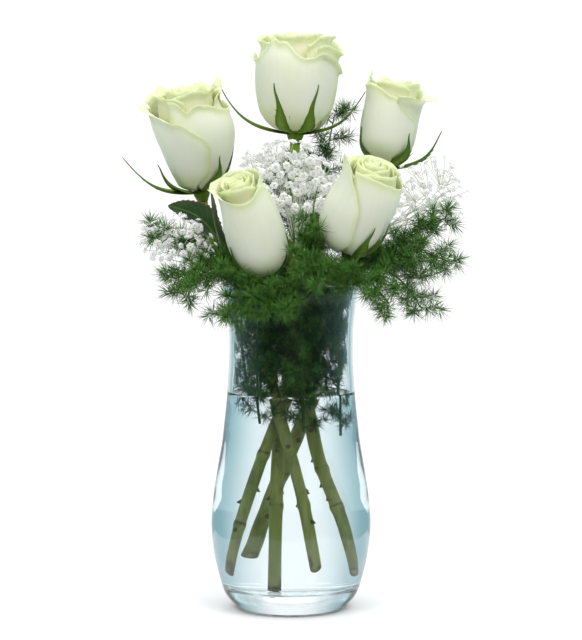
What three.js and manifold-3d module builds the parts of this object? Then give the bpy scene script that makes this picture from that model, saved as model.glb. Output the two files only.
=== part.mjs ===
// Five cut white roses with fern, baby's breath and rose leaves, standing in a waisted clear glass vase of water.
// Millimetres, +Z up. The origin is the centre of the vase's flat base, and -Y is the side the roses face.
// Each rose is a cut stem, a calyx (hip and five sepals), three loose outer petals and the furled bud inside them.
import * as THREE from "three";
import { mergeGeometries, mergeVertices } from "three/addons/utils/BufferGeometryUtils.js";
import Module from "manifold-3d";

// ---- Driving dimensions --------------------------------------------------------------------------------------

const GAP = 0.35; // free space kept between any two touching pieces

const VASE = {
  wall: 2.6,
  floor: 14, // thickness of the solid glass under the water
  lip: 1, // height of the rounded edge
  corner: { reach: 5, lift: 1.6, cut: 1.4 }, // the chamfer between the floor and the wall
  sides: 24,
  rings: 14,
  // [radius, height] of the outside: foot, heel, belly, waist and flared lip
  outline: [
    [31, 0],
    [37, 3.5],
    [42, 13],
    [47, 32],
    [49, 54],
    [46.4, 78],
    [41.2, 110],
    [37.9, 150],
    [38.4, 178],
    [42, 200],
  ],
};
const WATER_LEVEL = 132;

const STEM = { radius: 3.2, sides: 6, steps: 16, neck: 22 }; // neck is the straight end under the bud
// [radius, height] of the hip, from the stem's end up to the edge that the sepals leave
const HIP = { length: 7.4, radius: 5.6, outline: [[3.1, -7.4], [4.6, -5.6], [5.6, -3.2], [4.6, -0.9]] };
const SEPAL = { halfWidth: 3.4, halfThickness: 0.7, tuck: 2.4, rise: -2.6, clearance: 1.6 };
const BUD = {
  sides: 14,
  core: 2.4, // least radius of the furled petals
  // [radius, height] of the whole bud, as shares of its widest radius and of its length
  outline: [[0.16, 0], [0.56, 0.09], [0.86, 0.26], [1, 0.5], [0.93, 0.76], [0.86, 1]],
  heights: [0.08, 0.16, 0.28, 0.45, 0.65, 0.82, 0.93], // rings of the furled petals
  dome: [0.36, 0.985], // the last ring before the middle of the open end
};
// The outer petals cover the bud from height share from to share to. room is what they take off its radius.
const PETAL = {
  halfThickness: 0.7,
  layer: 2.1,
  layers: 3,
  room: 6.8,
  turn: 128,
  halfAngle: 74,
  from: 0.12,
  to: 0.97,
};
const LEAF_HALF_THICKNESS = 0.7;
const FERN_STEM_RADIUS = 1.1;
const SPRIG = {
  stemRadius: 0.9,
  twigRadius: 0.55,
  floretRadius: 2.8,
  twigs: 8,
  fork: 0.18, // share of the stem that the twigs leave
  inset: 0.86, // share of the cloud that the florets' middles reach
  depth: 1.5, // how far down the cloud they go, from 0 at its top to 2 at its foot
};

// Sepals are [direction round the stem in degrees, spread, length]. Spread 0 hugs the bud and 1 lies level.
// base is where the bud meets its hip, and top is the middle of the bud's open end.
const ROSES = [
  {
    name: "rose_top",
    base: [2.7, 12, 292],
    top: [4.5, 9, 351],
    radius: 25.5,
    firstPetal: 250,
    stem: [[-8, -8, 16], [-7, -6, 70], [-5, 0, 115], [-1, 7, 160], [2, 10, 220]],
    sepals: [[242, 0.05, 30], [296, 0.05, 30], [178, 0.95, 50], [352, 0.9, 44], [80, 0.5, 34]],
  },
  {
    name: "rose_left",
    base: [-54.6, 0, 256.8],
    top: [-61.5, -9, 315],
    radius: 24.5,
    firstPetal: 225,
    stem: [[13, -25, 31], [6, -22.5, 70], [-4, -21, 112], [-14, -14, 150], [-28, -6, 195], [-42, -1, 218]],
    sepals: [[190, 0.95, 46], [215, 0.75, 32], [310, 0.35, 26], [20, 0.2, 28], [100, 0.6, 34]],
  },
  {
    name: "rose_right",
    base: [60.7, 18, 271],
    top: [64.8, 19, 321],
    radius: 19.5,
    firstPetal: 285,
    stem: [[-16, 20, 34], [-8, 18, 65], [4, 14, 110], [16, 14, 155], [29, 15, 197], [46, 17, 228]],
    sepals: [[345, 0.75, 36], [200, 0.15, 24], [300, 0.5, 26], [60, 0.5, 28], [130, 0.6, 30]],
  },
  {
    name: "rose_front_left",
    base: [-14.3, -28, 207.4],
    top: [-32, -52, 262],
    radius: 20.5,
    firstPetal: 300,
    stem: [[34, -12, 27], [24, -6, 58], [13, 0, 90], [8, 1, 122], [0, -4, 160]],
    sepals: [[195, 0.35, 42], [215, 0.12, 30], [330, 0.3, 32], [10, 0.35, 34], [100, 0.2, 28]],
  },
  {
    name: "rose_front_right",
    base: [35.7, -25, 219.6],
    top: [48.6, -46, 269],
    radius: 22.5,
    firstPetal: 215,
    stem: [[-34, -16, 27], [-24, -13, 62], [-10, -12, 108], [6, -11, 150], [23, -15, 184]],
    sepals: [[170, 0.45, 42], [290, 0.05, 28], [325, 0.12, 32], [40, 0.35, 30], [100, 0.2, 28]],
  },
];

const LEAVES = [
  {
    name: "rose_leaf_left",
    route: [[-46, -5, 226], [-56, -9, 238], [-74, -15, 244]],
    halfWidth: 7.5,
  },
  {
    name: "rose_leaf_upright",
    route: [[-34, -15, 210], [-43, -20, 226], [-47, -23, 256]],
    halfWidth: 6.5,
  },
  {
    name: "rose_leaf_back",
    route: [[-20, 38, 215], [-30, 52, 226], [-44, 60, 222]],
    halfWidth: 9,
  },
];

// crown is the middle of the cloud of florets and spread its half-size along X, Y and Z.
const SPRIGS = [
  {
    name: "gypsophila_centre",
    stem: [[13, 4, 135], [11, 1, 180], [3, -6, 225], [-1, -8, 246]],
    crown: [-1, -9, 259],
    spread: [33, 13, 27],
  },
  {
    name: "gypsophila_left",
    stem: [[-25, 9, 140], [-31, 12, 195], [-48, 9, 214], [-60, 4, 219]],
    crown: [-68, 2, 222],
    spread: [21, 13, 17],
  },
  {
    name: "gypsophila_right",
    stem: [[22, 4, 150], [31, 7.5, 198], [54, 6, 230], [76, 4, 244]],
    crown: [84, 2, 252],
    spread: [22, 14, 24],
  },
  {
    name: "gypsophila_back",
    stem: [[-6, 19, 150], [-8, 25, 200], [-6, 38, 240]],
    crown: [-4, 46, 262],
    spread: [30, 15, 26],
  },
  {
    name: "gypsophila_back_right",
    stem: [[9, 24, 150], [20, 31, 200], [40, 44, 226]],
    crown: [52, 50, 238],
    spread: [20, 13, 17],
  },
];

// Each fern runs up from the neck of the vase, over the lip and out. inside and outside are its foliage's
// [half-width, half-thickness] at the start and the end of the route.
const FERNS = [
  {
    name: "fern_left",
    route: [[-24, -8, 128], [-30, -6, 168], [-34, -5, 203], [-58, -14, 224], [-87, -20, 236]],
    inside: [9, 3.5],
    outside: [17, 9],
  },
  {
    name: "fern_front_left",
    route: [[-17, -23, 116], [-20, -25, 165], [-24, -32, 205], [-43, -44, 212], [-64, -52, 198]],
    inside: [11, 3.5],
    outside: [15, 9],
  },
  {
    name: "fern_front",
    route: [[7, -29, 112], [6, -31, 168], [8, -37, 205], [12, -50, 217], [17, -62, 208]],
    inside: [12, 3.2],
    outside: [15, 8],
  },
  {
    name: "fern_right_low",
    route: [[27, -17, 108], [28, -16, 168], [36, -12, 205], [57, -22, 208], [78, -28, 186]],
    inside: [10, 3.5],
    outside: [17, 9],
  },
  {
    name: "fern_right_high",
    route: [[31, 0, 146], [34, 0, 203], [58, -8, 220], [80, -14, 236], [100, -18, 246]],
    inside: [9, 3],
    outside: [14, 8],
  },
  {
    name: "fern_back_top",
    route: [[2, 29, 146], [6, 33, 203], [16, 36, 250], [27, 31, 302]],
    inside: [8, 3],
    outside: [16, 8],
  },
  {
    name: "fern_back_left",
    route: [[-19, 24, 130], [-22, 27, 180], [-33, 38, 214], [-56, 52, 226]],
    inside: [9, 3],
    outside: [17, 9],
  },
  {
    name: "fern_back_right",
    route: [[22, 21, 130], [25, 24, 180], [36, 34, 212], [60, 44, 214], [78, 46, 200]],
    inside: [9, 3],
    outside: [17, 9],
  },
];

// ---- Materials -----------------------------------------------------------------------------------------------

function finish(color, roughness) {
  return new THREE.MeshStandardMaterial({ color, roughness, metalness: 0 });
}

const GLASS = finish(0xdcebf0, 0.05);
const WATER = finish(0xe2f0f4, 0.05);
const STEM_GREEN = finish(0x6f8c3a, 0.55);
const SEPAL_GREEN = finish(0x5d8136, 0.6);
const PETAL_CREAM = finish(0xeef2da, 0.6);
const LEAF_GREEN = finish(0x31502a, 0.5);
const FERN_GREEN = finish(0x2f6a2c, 0.65);
const FLORET_WHITE = finish(0xf2f4f0, 0.7);

// ---- Shapes --------------------------------------------------------------------------------------------------

const UP = new THREE.Vector3(0, 0, 1);
const wasm = await Module();
wasm.setup();

function vector(point) {
  return new THREE.Vector3(...point);
}

function smooth(points) {
  return new THREE.CatmullRomCurve3(points.map(vector));
}

// A closed geometry as a solid that can be joined and cut.
function toSolid(geometry) {
  const bare = geometry.clone();
  bare.deleteAttribute("normal");
  bare.deleteAttribute("uv");
  const merged = mergeVertices(bare, 1e-4);
  return new wasm.Manifold(
    new wasm.Mesh({
      numProp: 3,
      vertProperties: merged.getAttribute("position").array,
      triVerts: new Uint32Array(merged.index.array),
    }),
  );
}

function toGeometry(solid) {
  const mesh = solid.getMesh();
  const geometry = new THREE.BufferGeometry()
    .setAttribute("position", new THREE.BufferAttribute(mesh.vertProperties, 3))
    .setIndex(new THREE.BufferAttribute(mesh.triVerts, 1));
  geometry.computeVertexNormals();
  return geometry;
}

function join(solids) {
  return solids.reduce((whole, solid) => whole.add(solid));
}

// Cutting can leave loose crumbs, and only the biggest body is kept.
function biggestBody(solid) {
  return solid.decompose().reduce((best, body) => (body.volume() > best.volume() ? body : best));
}

// A solid turned about +Z from a [radius, height] outline that starts and ends on the axis, or closes on itself.
function turned(outline, sides) {
  const points = outline.map(([r, z]) => new THREE.Vector2(r, z));
  return new THREE.LatheGeometry(points, sides).rotateX(Math.PI / 2);
}

function tube(curve, radius, sides, steps) {
  const section = new THREE.Shape(
    Array.from({ length: sides }, (_, i) => {
      const angle = (2 * Math.PI * i) / sides;
      return new THREE.Vector2(radius * Math.cos(angle), radius * Math.sin(angle));
    }),
  );
  return new THREE.ExtrudeGeometry(section, { steps, extrudePath: curve, bevelEnabled: false });
}

// A geometry of the unit sphere reshaped point by point: place(across, deep, along) with across and deep from -1 to
// 1, and along from 0 at the lower pole to 1 at the upper one.
function reshape(sphere, place) {
  const position = sphere.getAttribute("position");
  for (let i = 0; i < position.count; i++) {
    const p = place(position.getX(i), position.getY(i), (position.getZ(i) + 1) / 2);
    position.setXYZ(i, p.x, p.y, p.z);
  }
  return sphere;
}

function reshapedSphere(around, rings, place) {
  return reshape(new THREE.SphereGeometry(1, around, rings).rotateX(Math.PI / 2), place);
}

// The same from a half sphere and its mirror image. Both are split into the same triangles, so a thin plate that is
// bent sharply does not pass through itself.
function reshapedMirroredSphere(across, rings, place) {
  const front = new THREE.SphereGeometry(1, across, rings, 0, Math.PI).rotateX(Math.PI / 2);
  const back = front.clone().scale(1, -1, 1);
  back.index.array.reverse();
  return reshape(mergeGeometries([front, back]), place);
}

// A flattened sphere laid along a curve: a leaf, a sepal or a plume of foliage. Its width lies as near as it can
// to sideways(point), and width(t) and thickness(t) are the half-sizes at the share t of the curve.
function blade(curve, sideways, width, thickness, around, rings) {
  return reshapedSphere(around, rings, (across, deep, along) => {
    const centre = curve.getPointAt(along);
    const forward = curve.getTangentAt(along);
    const side = sideways(centre);
    side.addScaledVector(forward, -side.dot(forward)).normalize();
    const out = side.clone().cross(forward);
    return centre
      .addScaledVector(side, across * width(along))
      .addScaledVector(out, -deep * thickness(along));
  });
}

// The level direction round the +Z axis at a point.
function round(point) {
  return new THREE.Vector3(-point.y, point.x, 0).normalize();
}

// ---- Vase and water ------------------------------------------------------------------------------------------

const OUTSIDE = new THREE.SplineCurve(VASE.outline.map(([r, z]) => new THREE.Vector2(r, z)));
const OUTSIDE_POINTS = OUTSIDE.getPoints(VASE.rings).map((p) => [p.x, p.y]);
const HEIGHT = VASE.outline.at(-1)[1];

// The outline's points above the solid floor, moved in by depth, with a chamfered corner down to the middle.
function insideOutline(depth, floor, top) {
  const { reach, lift, cut } = VASE.corner;
  const walls = OUTSIDE_POINTS.filter(([, z]) => z > floor + reach && z < top - VASE.lip);
  const inner = walls.map(([r, z]) => [r - depth, z]);
  const edge = inner[0][0];
  return [[0, floor], [edge - reach, floor], [edge - cut, floor + lift], ...inner];
}

function outsideRadiusAt(height) {
  const above = OUTSIDE_POINTS.findIndex(([, z]) => z >= height);
  const [lowR, lowZ] = OUTSIDE_POINTS[above - 1];
  const [highR, highZ] = OUTSIDE_POINTS[above];
  return THREE.MathUtils.mapLinear(height, lowZ, highZ, lowR, highR);
}

function vaseSolid(grow = 0) {
  const lipRadius = VASE.outline.at(-1)[0];
  const lipFoot = HEIGHT - VASE.lip;
  const outside = OUTSIDE_POINTS.filter(([, z]) => z < lipFoot).map(([r, z]) => [r + grow, z]);
  const lip = [
    [lipRadius + grow, lipFoot],
    [lipRadius - VASE.wall / 2, HEIGHT + grow],
    [lipRadius - VASE.wall - grow, lipFoot],
  ];
  const inside = insideOutline(VASE.wall + grow, VASE.floor + grow, HEIGHT).reverse();
  return toSolid(turned([[0, 0], ...outside, ...lip, ...inside], VASE.sides));
}

function waterSolid() {
  const depth = VASE.wall + GAP;
  const walls = insideOutline(depth, VASE.floor + GAP, WATER_LEVEL);
  const surface = [[outsideRadiusAt(WATER_LEVEL) - depth, WATER_LEVEL], [0, WATER_LEVEL]];
  return toSolid(turned([...walls, ...surface], VASE.sides));
}

// ---- Roses ---------------------------------------------------------------------------------------------------

const BUD_SHAPE = new THREE.SplineCurve(BUD.outline.map(([r, z]) => new THREE.Vector2(r, z)));

// The bud's outer radius, as a share of its widest, at the share t of its length.
function budShare(t) {
  let low = 0;
  let high = 1;
  for (let i = 0; i < 24; i++) {
    const middle = (low + high) / 2;
    if (BUD_SHAPE.getPoint(middle).y < t) low = middle;
    else high = middle;
  }
  return BUD_SHAPE.getPoint(low).x;
}

function roseSize(rose) {
  return { length: vector(rose.top).distanceTo(vector(rose.base)), radius: rose.radius };
}

// The furled inner petals: the bud's shape less the room for the outer petals, with a domed end.
function budGeometry(rose) {
  const { length, radius } = roseSize(rose);
  const walls = BUD.heights.map((t) => [Math.max(radius * budShare(t) - PETAL.room, BUD.core), t * length]);
  const [domeRadius, domeHeight] = BUD.dome;
  const dome = [[radius * domeRadius, length * domeHeight], [0, length]];
  return turned([[0, GAP], [BUD.core, GAP], ...walls, ...dome], BUD.sides);
}

// One outer petal, wrapped round the bud in layer 1 (inner) to 3 (outer).
function petalGeometry(rose, layer) {
  const { length, radius } = roseSize(rose);
  const middle = THREE.MathUtils.degToRad(rose.firstPetal + (PETAL.layers - layer) * PETAL.turn);
  const halfAngle = THREE.MathUtils.degToRad(PETAL.halfAngle);
  const inset = (PETAL.layers + 0.5 - layer) * PETAL.layer;
  return reshapedMirroredSphere(7, 6, (across, deep, along) => {
    const t = THREE.MathUtils.lerp(PETAL.from, PETAL.to, along);
    const angle = middle + (Math.asin(THREE.MathUtils.clamp(across, -1, 1)) / (Math.PI / 2)) * halfAngle;
    const r = radius * budShare(t) - inset - deep * PETAL.halfThickness;
    return new THREE.Vector3(r * Math.cos(angle), r * Math.sin(angle), t * length);
  });
}

// A sepal leaves the hip's edge and either hugs the bud (spread 0) or reaches out level and then up (spread 1).
function sepalCurve(rose, spread, reach) {
  const { radius } = roseSize(rose);
  const hugging = [0.1, 0.28, 0.5].map((t) => [radius * budShare(t) + SEPAL.clearance, 2 * t * reach]);
  const level = [[reach * 0.42, -1.5], [reach * 0.75, reach * 0.12], [reach, reach * 0.42]];
  const points = hugging.map(([r, z], i) => [
    THREE.MathUtils.lerp(r, level[i][0], spread),
    THREE.MathUtils.lerp(z, level[i][1], spread),
  ]);
  return [[HIP.radius - SEPAL.tuck, SEPAL.rise], ...points];
}

function calyxSolid(rose, grow = 0) {
  const [low, high] = [HIP.outline[0][1], HIP.outline.at(-1)[1]];
  const hip = turned([[0, low], ...HIP.outline.map(([r, z]) => [r + grow, z]), [0, high]], 8);
  const sepals = rose.sepals.map(([direction, spread, reach]) => {
    const turn = THREE.MathUtils.degToRad(direction);
    const away = new THREE.Vector3(Math.cos(turn), Math.sin(turn), 0);
    const curve = smooth(sepalCurve(rose, spread, reach).map(([r, z]) => [r * away.x, r * away.y, z]));
    const width = (t) => SEPAL.halfWidth * (1.15 - 0.75 * t) + grow;
    return toSolid(blade(curve, () => round(away), width, () => SEPAL.halfThickness + grow, 6, 6));
  });
  return join([toSolid(hip), ...sepals]);
}

// The smooth space that a whole bud with its outer petals takes, for its neighbours to stay out of.
function budSpace(rose, grow) {
  const { length, radius } = roseSize(rose);
  const walls = [0, ...BUD.heights, 1].map((t) => [radius * budShare(t) + grow, t * length]);
  return toSolid(turned([[0, 0], ...walls, [0, length + grow]], BUD.sides));
}

// The rose's own frame: origin where the bud meets the hip, +Z along the bud.
function roseGroup(rose) {
  const group = new THREE.Group();
  const axis = vector(rose.top).sub(vector(rose.base)).normalize();
  group.position.copy(vector(rose.base));
  group.quaternion.setFromUnitVectors(UP, axis);
  group.updateMatrixWorld(true);
  return group;
}

function stemSolid(rose, grow = 0) {
  const base = vector(rose.base);
  const axis = vector(rose.top).sub(base).normalize();
  const underHip = base.clone().addScaledVector(axis, -HIP.length - GAP);
  const bend = base.clone().addScaledVector(axis, -STEM.neck);
  const curve = new THREE.CatmullRomCurve3([...rose.stem.map(vector), bend, underHip]);
  return toSolid(tube(curve, STEM.radius + grow, STEM.sides, STEM.steps));
}

// ---- Leaves, sprigs and ferns --------------------------------------------------------------------------------

function leafSolid(leaf, grow = 0) {
  const width = (t) => leaf.halfWidth * (0.55 + 0.55 * Math.sin(Math.PI * t)) + grow;
  return toSolid(blade(smooth(leaf.route), round, width, () => LEAF_HALF_THICKNESS + grow, 8, 8));
}

// A main stem up to the crown, and twigs that fan out to florets spread evenly over the cloud.
function sprigSolid(sprig, grow = 0) {
  const stem = smooth(sprig.stem);
  const crown = vector(sprig.crown);
  const spread = vector(sprig.spread);
  const goldenAngle = Math.PI * (3 - Math.sqrt(5));
  const pieces = [toSolid(tube(stem, SPRIG.stemRadius + grow, 5, 8))];
  for (let i = 0; i < SPRIG.twigs; i++) {
    const z = 1 - (SPRIG.depth * (i + 0.5)) / SPRIG.twigs;
    const r = Math.sqrt(1 - z * z);
    const away = new THREE.Vector3(r * Math.cos(i * goldenAngle), r * Math.sin(i * goldenAngle), z);
    const tip = crown.clone().add(away.multiply(spread).multiplyScalar(SPRIG.inset));
    const foot = stem.getPointAt(0.97 - (SPRIG.fork * i) / SPRIG.twigs);
    const twig = new THREE.LineCurve3(foot, tip);
    const floret = new THREE.IcosahedronGeometry(SPRIG.floretRadius + grow, 0).translate(...tip);
    pieces.push(toSolid(tube(twig, SPRIG.twigRadius + grow, 4, 1)), toSolid(floret));
  }
  return join(pieces);
}

function fernSolid(fern, grow = 0) {
  const curve = smooth(fern.route);
  const growth = (t) => THREE.MathUtils.smoothstep(t, 0.35, 0.8);
  const width = (t) => THREE.MathUtils.lerp(fern.inside[0], fern.outside[0], growth(t)) + grow;
  const thickness = (t) => THREE.MathUtils.lerp(fern.inside[1], fern.outside[1], growth(t)) + grow;
  const plume = toSolid(blade(curve, round, width, thickness, 8, 12));
  return plume.add(toSolid(tube(curve, FERN_STEM_RADIUS + grow, 5, 10)));
}

// ---- Assembly ------------------------------------------------------------------------------------------------

const bouquet = new THREE.Group();
const takenSpace = []; // each placed piece with the gap round it, in the vase's frame

function boxesMeet(a, b) {
  const one = a.boundingBox();
  const two = b.boundingBox();
  return [0, 1, 2].every((i) => one.min[i] < two.max[i] && two.min[i] < one.max[i]);
}

function addMesh(parent, name, solid, material) {
  const mesh = new THREE.Mesh(toGeometry(solid), material);
  mesh.name = name;
  parent.add(mesh);
}

// The piece, cut back from everything that was placed before it, and its own space for those that follow.
function addPiece(name, shape, material) {
  const whole = shape(0);
  const near = takenSpace.filter((space) => boxesMeet(whole, space));
  const clear = near.reduce((left, space) => left.subtract(space), whole);
  addMesh(bouquet, name, near.length ? biggestBody(clear) : whole, material);
  takenSpace.push(shape(GAP).add(whole)); // a blade's grown copy hardly grows at its pointed ends
}

function addRoseHead(rose) {
  const group = roseGroup(rose);
  bouquet.add(group);
  addMesh(group, `${rose.name}_bud`, toSolid(budGeometry(rose)), PETAL_CREAM);
  for (let layer = 1; layer <= PETAL.layers; layer++) {
    addMesh(group, `${rose.name}_petal_${layer}`, toSolid(petalGeometry(rose, layer)), PETAL_CREAM);
  }
  addMesh(group, `${rose.name}_calyx`, calyxSolid(rose), SEPAL_GREEN);
  const place = group.matrixWorld.elements;
  takenSpace.push(budSpace(rose, GAP).transform(place), calyxSolid(rose, GAP).transform(place));
}

addPiece("vase", vaseSolid, GLASS);
for (const rose of ROSES) addPiece(`${rose.name}_stem`, (grow) => stemSolid(rose, grow), STEM_GREEN);
for (const rose of ROSES) addRoseHead(rose);
for (const leaf of LEAVES) addPiece(leaf.name, (grow) => leafSolid(leaf, grow), LEAF_GREEN);
for (const sprig of SPRIGS) addPiece(sprig.name, (grow) => sprigSolid(sprig, grow), FLORET_WHITE);
for (const fern of FERNS) addPiece(fern.name, (grow) => fernSolid(fern, grow), FERN_GREEN);
addPiece("water", waterSolid, WATER);

export default bouquet;
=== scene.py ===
"""Five half-open white roses with fern, baby's breath and rose leaves, in a waisted glass vase of water.

Metres, +Z up. The vase's flat base is centred on the origin, and -Y is the side that the roses face.
"""
from collections import namedtuple

import bpy
import numpy as np
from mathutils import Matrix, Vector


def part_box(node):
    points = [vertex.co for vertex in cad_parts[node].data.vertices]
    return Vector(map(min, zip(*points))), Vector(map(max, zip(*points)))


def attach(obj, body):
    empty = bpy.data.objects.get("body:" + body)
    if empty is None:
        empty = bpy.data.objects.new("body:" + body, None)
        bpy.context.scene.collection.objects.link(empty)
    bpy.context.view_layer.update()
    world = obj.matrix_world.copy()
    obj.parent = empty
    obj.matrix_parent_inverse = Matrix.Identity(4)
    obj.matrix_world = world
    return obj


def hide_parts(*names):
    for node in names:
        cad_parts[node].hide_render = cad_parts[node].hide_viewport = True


bl_info = {
    "name": "Rose Bouquet in a Glass Vase",
    "version": (1, 0, 0),
    "blender": (4, 5, 0),
    "location": "3D View > Sidebar > Bouquet",
    "description": "Makes cut roses with fern and baby's breath in a glass vase of water",
    "category": "Add Mesh",
}

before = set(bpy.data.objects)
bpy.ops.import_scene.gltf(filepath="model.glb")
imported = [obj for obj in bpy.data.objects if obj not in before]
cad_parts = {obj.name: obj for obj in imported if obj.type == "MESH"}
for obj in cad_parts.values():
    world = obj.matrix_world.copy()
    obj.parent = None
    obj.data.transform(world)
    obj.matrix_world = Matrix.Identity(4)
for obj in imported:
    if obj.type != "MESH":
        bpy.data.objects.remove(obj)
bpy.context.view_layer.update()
BODY = "root"
MM = 0.001

# ---- What the pieces are made from -----------------------------------------------------------------------------

# Each bud's radius by height, on its left side and on its right one, as shares of its length and its widest radius.
BUD_OUTLINES = {
    "rose_top": [
        (0.0, 0.40, 0.40), (0.03, 0.58, 0.58), (0.07, 0.70, 0.70), (0.15, 0.82, 0.81), (0.32, 0.94, 0.92),
        (0.56, 1.00, 1.00), (0.75, 0.97, 0.98), (0.89, 0.88, 0.88), (1.0, 0.80, 0.80), (1.2, 0.74, 0.76),
    ],
    "rose_left": [
        (0.0, 0.28, 0.22), (0.05, 0.50, 0.44), (0.13, 0.60, 0.62), (0.26, 0.71, 0.80), (0.45, 0.84, 0.98),
        (0.62, 0.95, 1.02), (0.75, 1.00, 0.94), (0.88, 1.02, 0.80), (1.0, 0.96, 0.76), (1.2, 0.94, 0.88),
    ],
    "rose_right": [
        (0.0, 0.40, 0.16), (0.05, 0.66, 0.32), (0.12, 0.86, 0.52), (0.24, 1.02, 0.68), (0.38, 1.05, 0.76),
        (0.56, 1.03, 0.80), (0.75, 0.96, 0.86), (0.9, 0.94, 0.92), (1.0, 0.92, 0.92), (1.2, 0.84, 0.90),
    ],
    "rose_front_left": [
        (0.0, 0.22, 0.34), (0.05, 0.46, 0.58), (0.12, 0.66, 0.76), (0.24, 0.79, 0.89), (0.38, 0.83, 0.92),
        (0.55, 0.79, 0.91), (0.7, 0.71, 0.86), (0.85, 0.65, 0.76), (1.0, 0.66, 0.66), (1.2, 0.66, 0.60),
    ],
    "rose_front_right": [
        (0.0, 0.40, 0.22), (0.06, 0.72, 0.40), (0.14, 0.90, 0.54), (0.25, 1.00, 0.66), (0.42, 1.02, 0.78),
        (0.6, 0.96, 0.86), (0.75, 0.84, 0.89), (0.9, 0.74, 0.84), (1.0, 0.72, 0.78), (1.2, 0.80, 0.66),
    ],
}
OUTER_PETAL_ROOM = 6.8 * MM  # what the outer petals add to the radius of the furled ones
HIP_GAP = 0.35 * MM

# The three loose petals of each rose, the outermost first. crest has [degrees round the bud, height as a share of
# the bud's length, outward roll in degrees] along the free edge, inset is taken off the radius, the roll sets in at
# the share start of the height, and flare opens the whole petal by degrees.
Petal = namedtuple("Petal", "crest inset start ruffle flare")
OUTER_PETALS = {
    "rose_top": [
        Petal(
            [(166, 0.80, 55), (190, 0.74, 45), (207, 0.76, 20), (220, 0.87, 14), (233, 0.955, 14), (240, 0.93, 34),
             (254, 0.92, 30), (266, 0.82, 24), (276, 0.765, 26), (290, 0.775, 50), (304, 0.83, 88), (
                 317, 0.80, 96
             ),
             (330, 0.73, 90), (343, 0.64, 70)],
            0.0, 0.88, 0.5, 0,
        ),
        Petal(
            [(-62, 0.86, 40), (-45, 0.90, 60), (-25, 0.86, 84), (0, 0.84, 76), (25, 0.92, 50), (60, 0.95, 60),
             (100, 0.90, 60)],
            0.05, 0.85, 1.0, 2,
        ),
        Petal(
            [(62, 0.92, 40), (90, 0.96, 56), (120, 0.95, 40), (150, 0.98, 44), (180, 0.95, 60), (205, 0.93, 40),
             (226, 0.90, 20)],
            0.08, 0.86, 1.0, 1,
        ),
    ],
    "rose_left": [
        Petal(
            [(128, 0.86, 50), (155, 0.90, 80), (178, 0.98, 96), (200, 0.95, 92), (222, 0.90, 80), (245, 0.80, 66),
             (262, 0.73, 50), (275, 0.64, 44), (285, 0.57, 34), (293, 0.46, 20)],
            0.0, 0.87, 0.9, 2,
        ),
        Petal(
            [(236, 0.96, 30), (252, 0.95, 50), (265, 0.86, 44), (278, 0.93, 62), (296, 0.90, 50), (318, 0.85, 46),
             (340, 0.80, 30), (4, 0.80, 34), (34, 0.86, 40)],
            0.045, 0.90, 0.8, 0,
        ),
        Petal(
            [(20, 0.98, 30), (38, 1.12, 40), (50, 1.03, 40), (80, 1.04, 50), (110, 0.99, 44), (140, 1.03, 60),
             (170, 0.98, 50)],
            0.08, 0.86, 1.0, 3,
        ),
    ],
    "rose_right": [
        Petal(
            [(190, 0.97, 30), (203, 0.98, 20), (222, 0.96, 14), (242, 0.91, 16), (256, 0.84, 24), (270, 0.82, 22),
             (284, 0.71, 22), (300, 0.62, 12), (316, 0.56, 8), (326, 0.48, 4)],
            0.0, 0.91, 0.5, 0,
        ),
        Petal(
            [(272, 0.84, 30), (292, 0.90, 60), (312, 0.91, 80), (332, 0.94, 88), (352, 0.96, 84), (16, 1.0, 84),
             (50, 0.97, 60), (96, 0.94, 40)],
            0.05, 0.74, 0.5, 4,
        ),
        Petal(
            [(88, 1.00, 30), (112, 1.10, 20), (136, 1.00, 34), (152, 1.02, 20), (160, 1.17, 8), (168, 1.02, 20),
             (196, 0.99, 24), (226, 0.97, 10)],
            0.08, 0.90, 0.7, 0,
        ),
    ],
    "rose_front_left": [
        Petal(
            [(186, 1.05, 60), (204, 1.06, 64), (222, 1.00, 50), (246, 0.92, 36), (272, 0.87, 26), (298, 0.90, 20),
             (318, 0.95, 20), (334, 0.95, 14), (344, 0.88, 8)],
            0.0, 0.90, 0.5, 0,
        ),
        Petal(
            [(322, 0.96, 14), (345, 0.99, 16), (10, 1.00, 14), (40, 1.01, 20), (76, 1.00, 14)],
            0.05, 0.9, 0.5, 0,
        ),
        Petal(
            [
                (58, 0.99, 14), (90, 1.02, 16), (130, 1.02, 20), (165, 1.04, 40), (200, 1.02, 40),
                (215, 0.98, 20)
            ],
            0.08, 0.88, 0.6, 0,
        ),
    ],
    "rose_front_right": [
        Petal(
            [(146, 0.86, 20), (170, 0.94, 20), (190, 1.08, 26), (204, 1.19, 34), (218, 1.10, 30), (232, 0.98, 34),
             (244, 0.88, 34), (254, 0.76, 24), (262, 0.62, 14)],
            0.0, 0.86, 0.4, 1,
        ),
        Petal(
            [(228, 1.03, 10), (250, 1.03, 18), (277, 1.01, 24), (305, 0.97, 24), (330, 0.92, 20), (350, 0.90, 20),
             (14, 0.90, 14), (40, 0.92, 10)],
            0.045, 0.93, 0.3, 0,
        ),
        Petal(
            [
                (20, 0.98, 14), (60, 1.02, 16), (100, 1.03, 14), (140, 1.02, 20), (175, 0.98, 16),
                (200, 0.96, 10)
            ],
            0.08, 0.90, 0.5, 0,
        ),
    ],
}
# The petals furled inside them: the height of the outermost one's crest, how far the middle rises above it, the
# size of their tips, the outward roll of the outermost one in degrees and how wavy they are.
Furl = namedtuple("Furl", "height rise tip curl ruffle")
FURLS = {
    "rose_top": Furl(1.00, 0.00, 0.03, 64, 1.3),
    "rose_left": Furl(1.04, 0.02, 0.05, 60, 1.3),
    "rose_right": Furl(1.02, 0.00, 0.06, 50, 1.0),
    "rose_front_left": Furl(1.00, 0.04, 0.02, 30, 0.8),
    "rose_front_right": Furl(1.02, 0.10, 0.01, 12, 0.4),
}
ROSES = list(OUTER_PETALS)

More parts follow.
